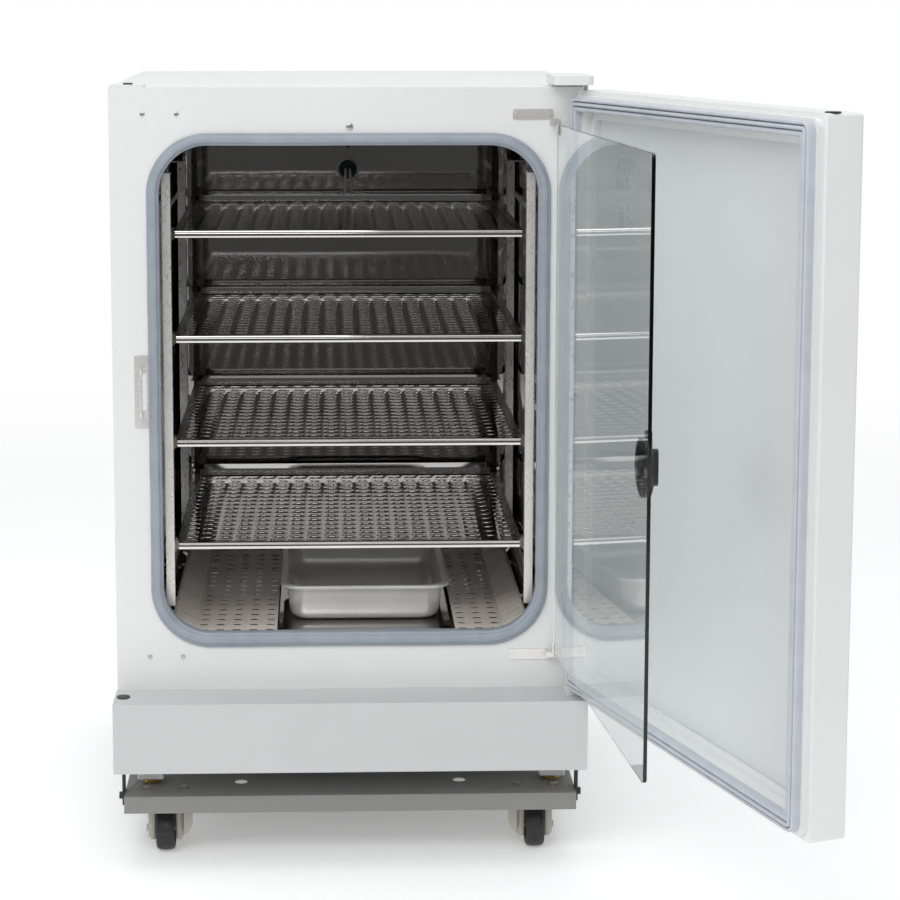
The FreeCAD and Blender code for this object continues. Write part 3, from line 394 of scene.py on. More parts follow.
MATERIALS = {
    "painted_white": powder_coat("painted_white", (0.80, 0.805, 0.80)),
    "painted_grey": powder_coat("painted_grey", (0.25, 0.248, 0.242), 0.5, 700, 0.00008),
    "polished_steel": polished_sheet("polished_steel", (0.68, 0.665, 0.65), 0.05, 0.00015),
    "satin_steel": satin_steel("satin_steel"),
    "zinc_steel": zinc_plate("zinc_steel"),
    "brass": turned_brass("brass"),
    "grey_silicone": silicone("grey_silicone", (0.31, 0.345, 0.395), 0.5, dust=0.06),
    "teal_silicone": silicone("teal_silicone", (0.012, 0.055, 0.068), 0.45, dust=0.04),
    "door_seal": silicone("door_seal", (0.52, 0.545, 0.60), 0.48),
    "black_plastic": moulded("black_plastic", (0.018, 0.018, 0.019), 0.42),
    "white_plastic": smooth_panel("white_plastic", (0.76, 0.77, 0.77), 0.32),
    "beige_plastic": moulded("beige_plastic", (0.42, 0.41, 0.36), 0.5),
    "door_panel": smooth_panel("door_panel", (0.655, 0.675, 0.68), 0.34),
    "clear_glass": clear_glass("clear_glass"),
    "black_rubber": tyre_rubber("black_rubber"),
    "foam": foam("foam"),
    "circuit_board": circuit_board("circuit_board"),
}
BAFFLE = satin_steel("baffle_steel", (0.86, 0.79, 0.725), 0.42, (14, 1, 14), 0.15)
TRAY = satin_steel("tray_steel", (0.92, 0.915, 0.91), 0.34, (1, 14, 14), 0.4)
FITTING = satin_steel("fitting_steel", (0.80, 0.78, 0.75), 0.24, (2, 2, 2), 0.5)
# painted shade: the shelf rails are steel, darkened here for the shade in their channels under the shelves
RAIL_PAINTED_SHADE = satin_steel("rail_steel_painted_shade", (0.26, 0.235, 0.20), 0.26, (14, 1, 14))
UPRIGHT = satin_steel("upright_steel", (0.80, 0.775, 0.735), 0.3, (2, 2, 1), 0.5)
NODE_FINISH = {
    "chamber_liner": polished_sheet("liner_mirror", (0.46, 0.445, 0.43), 0.035, 0.0005, 7),
    # painted shade: the console has the cabinet's white paint, darkened here for the light falling off towards the
    # bottom
    "console_cover": powder_coat("console_white_painted_shade", (0.58, 0.585, 0.585)),
    "shelf_rails": RAIL_PAINTED_SHADE,
    "floor_baffles": BAFFLE,
    "side_baffles": BAFFLE,
    "glass_hinge_plates": FITTING,
    "glass_clamps": FITTING,
    "strike_plate": FITTING,
    "sensor_probes": satin_steel("probe_steel", (0.86, 0.84, 0.79), 0.34, (14, 14, 1), 0.4),
    "rack_posts": UPRIGHT,
}
SOFT_EDGED = {
    "cabinet_shell": 0.8, "base_housing": 1.0,
    "door_shell": 0.5, "door_liner": 1.0, "door_panel": 0.5, "hinge_brackets": 0.8,
    "roller_base": 0.6, "rear_panel": 0.6, "control_bezel": 0.8, "door_handle": 1.0,
    "glass_panel": 0.6, "latch_base": 0.6, "latch_handle": 0.6, "strike_plate": 0.25,
    "glass_clamps": 0.4, "glass_hinge_plates": 0.3, "base_straps": 0.5, "mains_inlet": 0.5,
}


def soften(obj, width):
    """Rounded edges that catch the light; the mesh itself stays as it is."""
    weld = obj.modifiers.new("weld", "WELD")
    weld.merge_threshold = 0.00001
    bevel = obj.modifiers.new("bevel", "BEVEL")
    bevel.width = width * MM
    bevel.segments = 2
    bevel.limit_method = "ANGLE"
    bevel.angle_limit = math.radians(40)
    obj.modifiers.new("flat", "WEIGHTED_NORMAL").keep_sharp = True


def finish_cad_nodes():
    for row in frame["record"]["subparts"]:
        node, slot = row["node"], row["material_slot"]
        obj = NODES[node]
        obj.data.materials.clear()
        obj.data.materials.append(NODE_FINISH.get(node, MATERIALS[slot]))
        if node in SOFT_EDGED:
            soften(obj, SOFT_EDGED[node])


# ---- mesh code -----------------------------------------------------------------------------------
def lerp(a, b, t):
    return a + (b - a) * t


def rounded(half_x, z0, z1, radius, corner=10, side=24):
    """Points round a rectangle with rounded corners, always in the same number and order."""
    centres = ((half_x - radius, z1 - radius), (radius - half_x, z1 - radius),
               (radius - half_x, z0 + radius), (half_x - radius, z0 + radius))
    points = []
    for quarter, (cx, cz) in enumerate(centres):
        arc = []
        for i in range(corner + 1):
            angle = math.pi / 2 * (quarter + i / corner)
            arc.append((cx + radius * math.cos(angle), cz + radius * math.sin(angle)))
        if points:
            points += between(points[-1], arc[0], side)
        points += arc
    return points + between(points[-1], points[0], side)


def between(a, b, count):
    steps = [i / (count + 1) for i in range(1, count + 1)]
    return [(lerp(a[0], b[0], t), lerp(a[1], b[1], t)) for t in steps]


def skin(form, loops, closed=False, caps=False):
    """Faces between loops of points; closed joins the last loop to the first."""
    rings = [[form.verts.new(p) for p in loop] for loop in loops]
    pairs = list(zip(rings, rings[1:]))
    if closed:
        pairs.append((rings[-1], rings[0]))
    for a, b in pairs:
        for i in range(len(a)):
            j = (i + 1) % len(a)
            form.faces.new((a[i], a[j], b[j], b[i]))
    if caps:
        form.faces.new(rings[0][::-1])
        form.faces.new(rings[-1])
    return rings


def axes_for(axis):
    axis = Vector(axis).normalized()
    side = axis.orthogonal().normalized()
    return side, axis.cross(side), axis


def lathe(form, profile, centre, axis, steps=48):
    """Turns (radius, height) points about an axis."""
    side, other, along = axes_for(axis)
    loops = []
    for radius, height in profile:
        loop = []
        for i in range(steps):
            a = 2 * math.pi * i / steps
            across = Vector(centre) + side * radius * math.cos(a) + other * radius * math.sin(a)
            loop.append(across + along * height)
        loops.append(loop)
    skin(form, loops, caps=True)


def block(form, x0, x1, y0, y1, z0, z1):
    corners = [Vector((x, y, z)) for z in (z0, z1) for x, y in ((x0, y0), (x1, y0), (x1, y1), (x0, y1))]
    skin(form, [corners[:4], corners[4:]], caps=True)


def piece(name, slot, body, form, replaces=(), place=ON_CABINET, finish=None, sharp=40):
    """Makes the object from a form in cabinet millimetres, parents it to its body and hides the CAD parts it
    replaces.
    """
    mesh = bpy.data.meshes.new(name)
    bmesh.ops.recalc_face_normals(form, faces=form.faces)
    form.to_mesh(mesh)
    form.free()
    mesh.transform(place @ Matrix.Translation(ORIGIN) @ Matrix.Scale(MM, 4))
    for polygon in mesh.polygons:
        polygon.use_smooth = True
    mesh.set_sharp_from_angle(angle=math.radians(sharp))
    obj = link(name, mesh)
    mesh.materials.append(finish or MATERIALS[slot])
    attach(obj, body)
    if replaces:
        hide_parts(*replaces)


# ---- seals ---------------------------------------------------------------------------------------
SEAL_OUT = (270.0, TOP - 761.5, TOP - 60.5, 82.0)
SEAL_IN = (253.5, TOP - 741.0, TOP - 77.0, 65.0)
SEAL_PROFILE = (
    (1.0, 0.0), (1.0, -2.6), (0.985, -3.8), (0.93, -4.6), (0.84, -4.9), (0.79, -5.3), (0.765, -6.6),
    (0.72, -7.9), (0.64, -8.7), (0.52, -9.0), (0.38, -9.0), (0.27, -8.6), (0.21, -7.6), (0.185, -6.2),
    (0.15, -5.3), (0.08, -4.9), (0.02, -4.2), (0.0, -2.8), (0.0, 9.0), (0.25, 9.0), (0.25, 0.0),
)


def chamber_seal():
    """Soft silicone: a stepped bead that is never quite straight."""
    form = bmesh.new()
    loops = []
    for t, y in SEAL_PROFILE:
        size = [lerp(a, b, t) for a, b in zip(SEAL_IN, SEAL_OUT)]
        ring = rounded(*size, corner=20, side=30)
        free = 0.0 if y >= 0 else 1.0
        loops.append([soft_point(x, y, z, free * min(1.0, -y / 5)) for x, z in ring])
    skin(form, loops, closed=True)
    piece("chamber_seal", "grey_silicone", "root", form, ["chamber_gasket"], sharp=50)


def soft_point(x, y, z, free):
    wander = 0.45 * math.sin(x * 0.031 + 1.3) * math.cos(z * 0.027)
    wander += 0.25 * math.sin(z * 0.083 + x * 0.021)
    centre_z = TOP - 410
    out = Vector((x, z - centre_z)).normalized()
    return (x + out.x * wander * free, y, z + out.y * wander * free)


DOOR_BOTTOM, DOOR_TOP = 237.5, TOP - 3.0
RIBS = ((0.0, 4.6, -1.6), (5.5, 10.5, -0.5), (11.4, 17.5, -1.6))
RIB_FOOT, SEAL_FOOT = -6.2, -12.0


def door_seal():
    """Three rounded ribs with dark gaps, on a flat foot, with mitred corners."""
    profile = [(0.0, SEAL_FOOT)]
    for start, end, crest in RIBS:
        middle, half = (start + end) / 2, (end - start) / 2
        for i in range(11):
            a = math.pi * i / 10
            bulge = math.sin(a) ** 0.55
            profile.append((middle - half * math.cos(a), lerp(RIB_FOOT, crest, bulge)))
        if end < 17:
            profile.append((end + 0.3, RIB_FOOT - 1.8))
    profile.append((17.5, SEAL_FOOT))
    form = bmesh.new()
    loops = []
    for inset, y in profile:
        size = (308 - inset, DOOR_BOTTOM + 9 + inset, DOOR_TOP - 9 - inset, max(14 - inset, 1.2))
        loops.append([(x, y, z) for x, z in rounded(*size, corner=8, side=6)])
    skin(form, loops, closed=True)
    piece("door_seal", "door_seal", "outer_door", form, ["door_gasket"], ON_DOOR, sharp=50)


# ---- water tray ----------------------------------------------------------------------------------
PAN_X, PAN_HALF, PAN_Y = 22.5, 120.0, (110.0, 450.0)
PAN_RIM = TOP - 706.4
PAN_WALL = (
    (0.0, -4.0), (0.0, -1.3), (0.35, -0.45), (1.2, 0.0), (7.2, 0.0), (8.9, -0.6), (9.9, -2.2), (10.6, -8.0),
    (12.2, -24.0), (13.4, -36.0), (14.6, -42.5), (17.2, -47.6), (21.5, -51.0), (27.0, -52.3), (40.0, -52.5),
)
PAN_UNDER = (
    (40.0, -53.2), (26.0, -53.1), (20.4, -51.6), (16.2, -48.0), (13.7, -42.8), (12.5, -36.0), (11.3, -24.0),
    (9.7, -8.0), (9.0, -3.0), (8.2, -1.4), (7.0, -0.9), (1.4, -0.9), (0.9, -1.5), (0.9, -4.0),
)


def water_tray():
    """A pressed steel food-pan shape with a rolled rim and generous corners."""
    y_mid, y_half = (PAN_Y[0] + PAN_Y[1]) / 2, (PAN_Y[1] - PAN_Y[0]) / 2
    form = bmesh.new()
    loops = []
    for inset, depth in PAN_WALL + PAN_UNDER:
        radius = max(30 - inset * 0.35, 14)
        ring = rounded(PAN_HALF - inset, inset - y_half, y_half - inset, radius, corner=12, side=2)
        loops.append([(PAN_X + x, y_mid + y, PAN_RIM + depth) for x, y in ring])
    rings = skin(form, loops)
    for i in range(len(rings[0])):
        j = (i + 1) % len(rings[0])
        form.faces.new((rings[-1][i], rings[-1][j], rings[0][j], rings[0][i]))
    inside, outside = rings[len(PAN_WALL) - 1], rings[len(PAN_WALL)]
    edge = set(inside) | set(outside)
    for face in [f for f in form.faces if set(f.verts) <= edge]:
        form.faces.remove(face)
    form.faces.new(inside)
    form.faces.new(outside)
    piece("water_tray", "satin_steel", "water_pan", form, ["water_pan"], finish=TRAY, sharp=60)


# ---- castors -------------------------------------------------------------------------------------
CASTOR_X, CASTOR_Y, TRAIL = 256.0, {"front": 48.0, "rear": 550.0}, 25.0
WHEEL_R = 30.0
TREAD = (
    (4.1, 11.5), (8.5, 11.5), (9.2, 10.9), (9.6, 9.4), (19.0, 8.8), (20.4, 9.2), (21.4, 11.0),
    (22.6, 12.2), (25.0, 12.9), (27.2, 12.2), (28.8, 10.2), (29.6, 7.4), (29.9, 3.8), (30.0, 0.0),
)


def wheel(row, side, x):
    """A solid tyre with a crowned tread, a dished side and a raised hub."""
    centre = (x, CASTOR_Y[row] - TRAIL, WHEEL_R)
    profile = list(TREAD) + [(r, -h) for r, h in TREAD[-2::-1]]
    form = bmesh.new()
    lathe_ring(form, profile, centre, (1, 0, 0), 64)
    body = f"wheel_{row}_{side}"
    piece(f"tyre_{row}_{side}", "black_rubber", body, form, [body], sharp=35)


def lathe_ring(form, profile, centre, axis, steps):
    """Turns a closed profile that doesn't touch the axis."""
    side, other, along = axes_for(axis)
    loops = []
    for radius, height in profile:
        loop = []
        for i in range(steps):
            a = 2 * math.pi * i / steps
            across = (side * math.cos(a) + other * math.sin(a)) * radius
            loop.append(Vector(centre) + across + along * height)
        loops.append(loop)
    skin(form, loops, closed=True)


def leg_outline(steps=6):
    """Side view of a fork leg about its axle: straight down from the crown to a rounded square foot."""
    points = [(21.5, 34.5), (20.0, 10.0)]
    for y, z, start in ((6.5, -9.5, 0.0), (-5.5, -9.5, -90.0)):
        for i in range(steps + 1):
            a = math.radians(start - 90 * i / steps)
            points.append((y + 5.4 * math.cos(a), z + 5.4 * math.sin(a)))
    return points + [(-11.0, 34.5)]


FORK_CROWN = ((5.06, 68.9), (18.4, 68.9), (20.0, 70.2), (20.0, 78.2), (18.8, 79.4), (5.06, 79.4))
FORK_LEG = (  # drawn in by, distance from the wheel's middle
    (0.7, 14.7), (0.0, 15.5), (0.0, 21.0), (0.5, 21.6), (2.6, 21.8), (3.2, 24.0), (4.0, 24.4),
)
AXLE_CAP = ((0.01, 24.2), (5.2, 24.2), (5.2, 26.2), (4.2, 27.2), (0.01, 27.6))


def fork(row, side, x):
    """Moulded nylon fork: round crown, two deep legs with a raised rib, a capped axle."""
    y, axle = CASTOR_Y[row], CASTOR_Y[row] - TRAIL
    form = bmesh.new()
    lathe(form, FORK_CROWN, (x, y, 0), (0, 0, 1), 48)
    bridge_loops = []
    for z, grow in ((62.5, -1.0), (63.6, 0.0), (69.6, 0.0), (71.0, -1.6)):
        half, y0, y1 = 23.8 + grow, axle - 11.5 - grow, y + 11.5 + grow
        ring = rounded(half, y0, y1, 7 + grow, corner=6, side=1)
        bridge_loops.append([(x + px, py, z) for px, py in ring])
    skin(form, bridge_loops, caps=True)
    for e in (-1, 1):
        outline = leg_outline()
        loops = []
        for inset, offset in FORK_LEG:
            scale = 1 - inset / 15
            loops.append([(x + e * offset, axle + py * scale, WHEEL_R + (pz * scale if pz < 30 else pz))
                          for py, pz in outline])
        skin(form, loops, caps=True)
        lathe(form, AXLE_CAP, (x, axle, WHEEL_R), (e, 0, 0), 24)
    lathe(form, ((0.01, -15), (4.0, -15), (4.0, 15), (0.01, 15)), (x, axle, WHEEL_R), (1, 0, 0), 24)
    where = f"{row}_{side}"
    piece(f"yoke_{where}", "beige_plastic", f"castor_{where}", form, [f"fork_{where}"], sharp=42)


def brake_pedal(side, x, inward):
    """A fan-shaped foot tab with ribs, pivoting on the axle's end."""
    axle = CASTOR_Y["front"] - TRAIL
    form = bmesh.new()
    near, far = 24.9, 27.7
    outline = []
    for i in range(15):
        a = math.radians(lerp(-150, -20, i / 14))
        outline.append((9.5 * math.cos(a), 9.5 * math.sin(a)))
    outline += [(13.5, 12), (14, 27), (11, 29.6), (-13, 29.6)]
    outline += [(-15.8, 27), (-15.8, 0), (-14.5, -2.5), (-10, -3)]
    loops = [[(x + inward * off, axle + py * k, WHEEL_R + pz * k) for py, pz in outline]
             for off, k in ((near, 0.97), (near + 0.5, 1.0), (far - 0.5, 1.0), (far, 0.97))]
    skin(form, loops, caps=True)
    fan = []
    tab = ((near + 0.4, -3.4, 29.4), (30.0, -3.0, 29.4), (34.5, 2.0, 28.6), (37.2, 9.0, 26.5))
    for off, low, high in tab:
        corners = ((-15.7, low), (-10.4, low), (-10.4, high), (-15.7, high))
        fan.append([(x + inward * off, axle + dy, WHEEL_R + dz) for dy, dz in corners])
    skin(form, fan, caps=True)
    for dz in (8, 14, 20, 26):
        lo, hi = sorted((x + inward * 28, x + inward * (36 - abs(dz - 17) * 0.25)))
        block(form, lo, hi, axle - 15.98, axle - 15.3, WHEEL_R + dz - 0.8, WHEEL_R + dz + 0.8)
    piece(f"pedal_{side}", "beige_plastic", f"brake_{side}", form, [f"brake_{side}"], sharp=38)


def castors():
    for row in ("front", "rear"):
        for side, s in (("left", -1), ("right", 1)):
            wheel(row, side, s * CASTOR_X)
            fork(row, side, s * CASTOR_X)
    for side, s in (("left", -1), ("right", 1)):
        brake_pedal(side, s * CASTOR_X, -s)


# ---- small turned and moulded parts --------------------------------------------------------------
def cross(angle, reach, half):
    """The radius of a cross recess in a given direction."""
    c, s = abs(math.cos(angle)) + 1e-6, abs(math.sin(angle)) + 1e-6
    return max(min(reach / c, half / s), min(reach / s, half / c))


def cross_screw(form, centre, axis, radius, height, steps=48):
    """A domed head with a cross recess."""
    side, other, along = axes_for(axis)
    angles = [2 * math.pi * i / steps for i in range(steps)]

    def ring(reach, level):
        """Points at reach(angle) from the axis, as a share of the radius."""
        points = []
        for a in angles:
            across = (side * math.cos(a) + other * math.sin(a)) * radius * reach(a)
            points.append(Vector(centre) + across + along * height * level)
        return points

    dome = ((1.0, 0.0), (0.99, 0.35), (0.9, 0.7), (0.72, 0.92), (0.56, 1.0))
    loops = [ring(lambda a, r=r: r, level) for r, level in dome]
    for level, reach, half in ((1.0, 0.5, 0.13), (0.2, 0.4, 0.1)):
        loops.append(ring(lambda a, r=reach, h=half: cross(a, r, h), level))
    skin(form, loops, caps=True)


SCREW_SHANK = 1.9
FRAME_SCREWS = [(x, TOP - z) for x in (-273.5, -228.5) for z in (35.5, 775.0)]
CENTRE_SCREW = (1.0, TOP - 52.1)


BUNG_FACE = (  # radius, depth behind the rolled lip
    (0.01, 1.6), (3.2, 1.6), (3.9, 0.9), (7.4, 0.8), (8.0, 1.7), (9.4, 1.7), (10.0, 0.5), (12.4, 0.0),
    (13.4, 0.5),
)
PORT_RING = ((14.3, 0.4), (14.3, 1.7), (15.2, 2.2), (17.2, 1.8), (18, 0.4))  # radius, height off the wall
PROBE_SCREW = ((0.01, 3.2), (2.2, 2.9), (3.1, 1.8), (3.3, 0.3), (0.01, 0.3))


def stopper():
    """Silicone bung with a rolled lip and moulded rings, and the rear cap."""
    lo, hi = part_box("sensor_stopper")
    front, back = (lo.y - ORIGIN.y) / MM, (hi.y - ORIGIN.y) / MM
    x = ((lo.x + hi.x) / 2 - ORIGIN.x) / MM
    z = (lo.z + hi.z) / 2 / MM
    flange = (hi.x - lo.x) / 2 / MM
    plug = 13.9
    profile = [(radius, front + depth) for radius, depth in BUNG_FACE]
    profile += [(plug, front + 1.8), (plug, front + 8), (13.2, front + 9), (plug, front + 10)]
    profile += [(plug, back - 5), (flange - 0.8, back - 5), (flange, back - 4.2), (flange, back - 1.4)]
    profile += [(flange - 1.4, back), (9, back), (8, back - 1), (0.01, back - 1)]
    form = bmesh.new()
    lathe(form, profile, (x, 0, z), (0, 1, 0), 56)
    piece("port_stopper", "teal_silicone", "root", form, ["sensor_stopper"], sharp=50)
    ring = bmesh.new()
    wall = front + 8
    lathe_ring(ring, [(r, wall - h) for r, h in PORT_RING], (x, 0, z), (0, 1, 0), 64)
    piece("port_ring", "satin_steel", "root", ring, finish=FITTING, sharp=50)
    lug = bmesh.new()
    lathe(lug, [(r, wall - h) for r, h in PROBE_SCREW], (x, 0, TOP - 113), (0, 1, 0), 32)
    piece("probe_screw", "black_plastic", "root", lug, sharp=50)


def frame_screws():
    """Cross-recess screws in the front frame, and the larger catch screw in its middle."""
    form = bmesh.new()
    screws = [(place, 3.4, 1.6) for place in FRAME_SCREWS] + [(CENTRE_SCREW, 5.0, 2.4)]
    shank = ((0.01, 0), (2, 0), (2, SCREW_SHANK), (0.01, SCREW_SHANK))
    for (x, z), head, height in screws:
        cross_screw(form, (x, 0, z), (0, -1, 0), head, height)
        lathe(form, shank, (x, 0, z), (0, 1, 0), 24)
    piece("catch_screws", "zinc_steel", "root", form, ["frame_screws"], sharp=35)


# ---- shelves -------------------------------------------------------------------------------------
SHELF_TOPS = [TOP - 193.7 - 143.3 * i for i in range(4)]
SHELF_HALF, SHELF_FRONT, SHELF_BACK = 234.5, 34.0, 500.0
SLOT_PITCH, ROW_PITCH = 24.5, 27.0
SLOT_COLUMNS, SLOT_ROWS = 19, 17
SLOT_HALF, SLOT_R = 2.5, 2.3
ROLL = ((0.9, -3.0), (0.35, -3.1), (0.0, -3.45), (0.0, -4.0))  # grown by, height
UNDERSIDE_RIM = 0.9
EDGE_STEPS = (0, 3, 5, 7, 10, 13, 15, 17)  # slot points that face the cell's corners and middles
FRONT_RIM = (
    (48, -3.0), (43.7, -3.0), (42.9, -2.5), (42.7, -1.2), (42.2, -0.4), (41.3, 0), (36.2, 0),
    (35.0, -0.2),
    (34.3, -0.8), (34.05, -1.6), (34.3, -2.4), (35.0, -2.9), (35.0, -3.4), (34.3, -3.8), (34.05, -4.5),
    (34.05, -8.8), (34.35, -9.6), (35.2, -10), (40, -10), (40, -9.1), (36.0, -9.0), (35.3, -8.6),
    (35.2, -5.0),
    (36.0, -3.8), (36.0, -2.4), (35.6, -1.5), (36.4, -1.0), (41.0, -1.0), (41.7, -1.6), (41.8, -3.2),
    (42.6, -4.0),
    (48, -4.0),
)
BACK_RIM = (
    (493, -3.0), (497.4, -3.0), (498.5, -2.0), (498.7, 6.8), (499.0, 8.1), (499.5, 8.5), (500, 8.1),
    (500, -2.2), (499.4, -3.5), (498.2, -4.0), (493, -4.0),
)


def sweep_x(form, profile, half):
    """A profile in the YZ plane swept along X."""
    loops = [[(x, y, z) for y, z in profile] for x in (-half, half)]
    skin(form, loops, caps=True)


def slot_points(x, y, grow, z, half=SLOT_HALF, radius=SLOT_R):
    """Twenty points round a slot, from its +X end and anticlockwise."""
    r = radius + grow
    points = []
    for i in range(9):
        a = math.pi * (i / 8 - 0.5)
        points.append((x + half + r * math.cos(a), y + r * math.sin(a), z))
    points.append((x, y + r, z))
    for i in range(9):
        a = math.pi * (i / 8 + 0.5)
        points.append((x - half + r * math.cos(a), y + r * math.sin(a), z))
    points.append((x, y - r, z))
    return points[4:] + points[:4]


def perforated_sheet(form, xs, ys, x_edges, y_edges, roll, half=SLOT_HALF, radius=SLOT_R):
    """A sheet of cells, each with one slot; roll gives the slot's edge from the top down."""
    top, bottom = roll[0][1], roll[-1][1]
    shared = {}

    def vert(x, y, z):
        key = (round(x, 3), round(y, 3), round(z, 3))
        if key not in shared:
            shared[key] = form.verts.new(key)
        return shared[key]

    def rings_round(x, y):
        steps = list(roll) + [(UNDERSIDE_RIM, bottom)]
        return [[form.verts.new(p) for p in slot_points(x, y, grow, z, half, radius)] for grow, z in steps]

    def cell(x, y, x0, x1, y0, y1):
        round_cell = ((x1, y), (x1, y1), (x, y1), (x0, y1), (x0, y), (x0, y0), (x, y0), (x1, y0))
        rings = rings_round(x, y)
        for a, b in zip(rings, rings[1:]):
            for k in range(20):
                form.faces.new((a[k], a[(k + 1) % 20], b[(k + 1) % 20], b[k]))
        for z, ring in ((top, rings[0]), (bottom, rings[-1])):
            outer = [vert(px, py, z) for px, py in round_cell]
            for k in range(8):
                start, stop = EDGE_STEPS[k], EDGE_STEPS[(k + 1) % 8] or 20
                inner = [ring[m % 20] for m in range(stop, start - 1, -1)]
                form.faces.new([outer[k], outer[(k + 1) % 8]] + inner)

    for i, x in enumerate(xs):
        for j, y in enumerate(ys):
            cell(x, y, x_edges[i], x_edges[i + 1], y_edges[j], y_edges[j + 1])
    close_border(form, (top + bottom) / 2)


def close_border(form, middle):
    """Joins the open edges of a sheet's underside to those of its top."""
    border = [e for e in form.edges if e.is_boundary]
    tops = {}
    for v in {w for e in border for w in e.verts}:
        if v.co.z > middle:
            tops[(round(v.co.x, 3), round(v.co.y, 3))] = v
    for e in border:
        a, b = e.verts
        if a.co.z < middle:
            c, d = (tops[(round(v.co.x, 3), round(v.co.y, 3))] for v in (b, a))
            form.faces.new((a, b, c, d))


def shelf_mesh():
    """The whole shelf, with the top of its front rim at Z = 0."""
    form = bmesh.new()
    first = -(SLOT_COLUMNS - 1) / 2 * SLOT_PITCH
    xs = [first + SLOT_PITCH * i for i in range(SLOT_COLUMNS)]
    ys = [SHELF_FRONT + 16.5 + ROW_PITCH * j for j in range(SLOT_ROWS)]
    x_edges = [-SHELF_HALF + 0.4] + [x + SLOT_PITCH / 2 for x in xs[:-1]] + [SHELF_HALF - 0.4]
    y_edges = [SHELF_FRONT + 9.8] + [y + ROW_PITCH / 2 for y in ys[:-1]] + [SHELF_BACK - 2.2]
    perforated_sheet(form, xs, ys, x_edges, y_edges, ROLL)
    sweep_x(form, FRONT_RIM, SHELF_HALF)
    sweep_x(form, BACK_RIM, 225.0)
    for s in (-1, 1):
        x0, x1 = sorted((s * (SHELF_HALF - 1.2), s * SHELF_HALF))
        block(form, x0, x1, SHELF_FRONT + 14, SHELF_BACK - 1, -9.4, -3.3)
    return form


def shelves():
    for i, top in enumerate(SHELF_TOPS):
        form = shelf_mesh()
        bmesh.ops.translate(form, verts=form.verts, vec=(0, 0, top))
        piece(f"shelf_tray_{i + 1}", "polished_steel", f"shelf_{i + 1}", form, [f"shelf_{i + 1}"], sharp=32)


# ---- baffles beside the pan ----------------------------------------------------------------------
BAFFLE_HALF = 212.0
BAFFLE_SHEET = 0.5
FLAT_PLATES = ((-BAFFLE_HALF, -100.5, 5), (145.5, BAFFLE_HALF, 3))  # from, to, slots across
BAFFLE_ROWS = 17
SLOPE_RISE, SLOPE_RUN = 16.0, 29.0
LEG_HALF = 199.0  # beyond this the chamber's floor curves up into its wall
END_LIFT = 20.0  # clear of that curve under the outer edge of a slope
STAY_REACH = 250.0


def slotted_strip(form, x0, x1, columns, pitch, y0, y1, top, half, radius):
    """Thin sheet from x0 to x1 and y0 to y1, with its top at the given height."""
    bottom = top - BAFFLE_SHEET
    xs = [(x0 + x1) / 2 + (i - (columns - 1) / 2) * pitch for i in range(columns)]
    ys = [y0 + 16 + ROW_PITCH * j for j in range(BAFFLE_ROWS)]
    x_edges = [x0] + [x + pitch / 2 for x in xs[:-1]] + [x1]
    y_edges = [y0] + [y + ROW_PITCH / 2 for y in ys[:-1]] + [y1]
    roll = ((0.2, top), (0.0, top - 0.15), (0.0, bottom))
    perforated_sheet(form, xs, ys, x_edges, y_edges, roll, half, radius)


def flat_baffles(floor, top, front, back):
    """The level plates on both sides of the pan, each on a leg at its front and back."""
    flat = bmesh.new()
    for x0, x1, columns in FLAT_PLATES:
        slotted_strip(flat, x0, x1, columns, 23.0, front, back, top, 2.6, 3.3)
        for y in (front, back - BAFFLE_SHEET):
            left, right = max(x0, -LEG_HALF), min(x1, LEG_HALF)
            block(flat, left, right, y, y + BAFFLE_SHEET, floor + 0.05, top - BAFFLE_SHEET)
    piece("baffle_plates", "satin_steel", "root", flat, ["floor_baffles"], finish=BAFFLE, sharp=32)


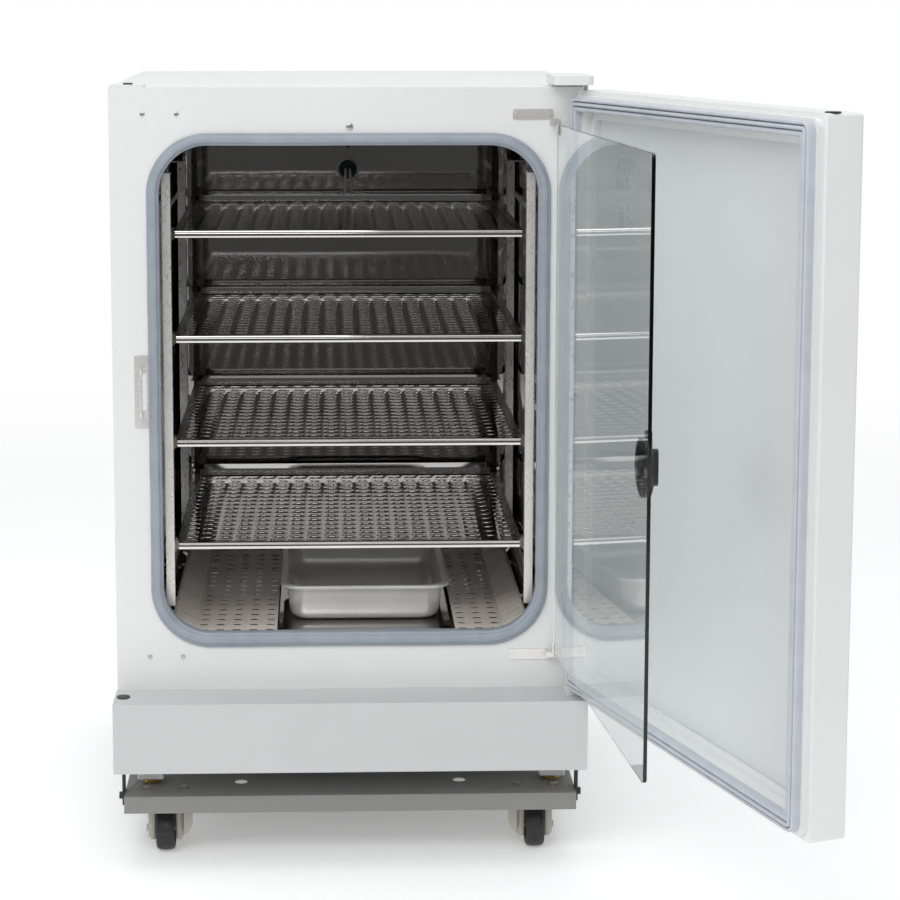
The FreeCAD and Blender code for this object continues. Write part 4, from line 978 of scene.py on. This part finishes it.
def sloping_baffles(floor, top, front, back):
    """The strips that rise from the level plates to the chamber's walls."""
    width = math.hypot(SLOPE_RISE, SLOPE_RUN)
    tilt = Matrix.Rotation(-math.atan2(SLOPE_RISE, SLOPE_RUN), 4, "Y")
    edge_x, edge_z = BAFFLE_HALF + 0.6 + SLOPE_RUN, top - 0.8 + SLOPE_RISE
    for side, name in ((-1, "side_slope_left"), (1, "side_slope_right")):
        slope = bmesh.new()
        slotted_strip(slope, 0, width, 4, 7.6, 0, back - front, 1.0, 0.9, 1.6)
        slope.transform(Matrix.Translation((BAFFLE_HALF + 0.6, front, top - 0.8)) @ tilt)
        block(slope, edge_x - 1.5, edge_x + 3, front, back, edge_z - 1.2, edge_z + 1.4)
        for y in (front, back - 6):
            block(slope, edge_x, edge_x + 3, y, y + 6, floor + END_LIFT, edge_z - 1.2)
        for y in (150, 350):
            block(slope, edge_x + 3, STAY_REACH, y, y + 6, edge_z - 3, edge_z)
        slope.transform(Matrix.Diagonal((side, 1, 1, 1)))
        replaced = ["side_baffles"] if side > 0 else []
        piece(name, "satin_steel", "root", slope, replaced, finish=BAFFLE, sharp=32)


def baffles():
    lo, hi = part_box("floor_baffles")
    size = (lo.z / MM, hi.z / MM, (lo.y - ORIGIN.y) / MM, (hi.y - ORIGIN.y) / MM)
    flat_baffles(*size)
    sloping_baffles(*size)


# ---- levelling feet ------------------------------------------------------------------------------
FOOT_XS, FOOT_YS = (-277.0, 281.0), (41.0, 557.0)
TRAY_TOP, BODY_BOTTOM = 91.0, 138.5
PAD = (
    (0.01, 0.0), (12.4, 0.0), (13.3, 0.8), (13.5, 2.0), (13.5, 3.2), (11.6, 4.2), (11.6, 5.6),
    (12.6, 6.6), (12.6, 7.6), (11.8, 8.0), (0.01, 8.0),
)


def levelling_feet():
    """A turned brass foot under a white guide block, with a threaded stem up to the cabinet."""
    pads, blocks = bmesh.new(), bmesh.new()
    for x in FOOT_XS:
        for y in FOOT_YS:
            lathe(pads, PAD, (x, y, TRAY_TOP), (0, 0, 1), 40)
            thread = [(6.9 if i % 2 else 6.1, 15.0 + 1.5 * i) for i in range(21)]
            stem = [(0.01, 15.0)] + thread + [(0.01, BODY_BOTTOM - TRAY_TOP)]
            lathe(pads, stem, (x, y, TRAY_TOP), (0, 0, 1), 32)
            loops = []
            for z, grow in ((8.05, -0.6), (8.5, 0.0), (14.4, 0.0), (14.95, -0.6)):
                ring = rounded(18 + grow, y - 18 - grow, y + 18 + grow, 2.6, corner=5, side=1)
                loops.append([(x + px, py, TRAY_TOP + z) for px, py in ring])
            skin(blocks, loops, caps=True)
    piece("foot_pads", "brass", "root", pads, ["levelling_feet"], sharp=38)
    piece("foot_blocks", "white_plastic", "root", blocks, sharp=38)


make_camera()
make_lights()
make_world()
make_floor()
finish_cad_nodes()
chamber_seal()
door_seal()
water_tray()
castors()
stopper()
frame_screws()
levelling_feet()
shelves()
baffles()
bpy.context.scene.view_settings.view_transform = "Standard"
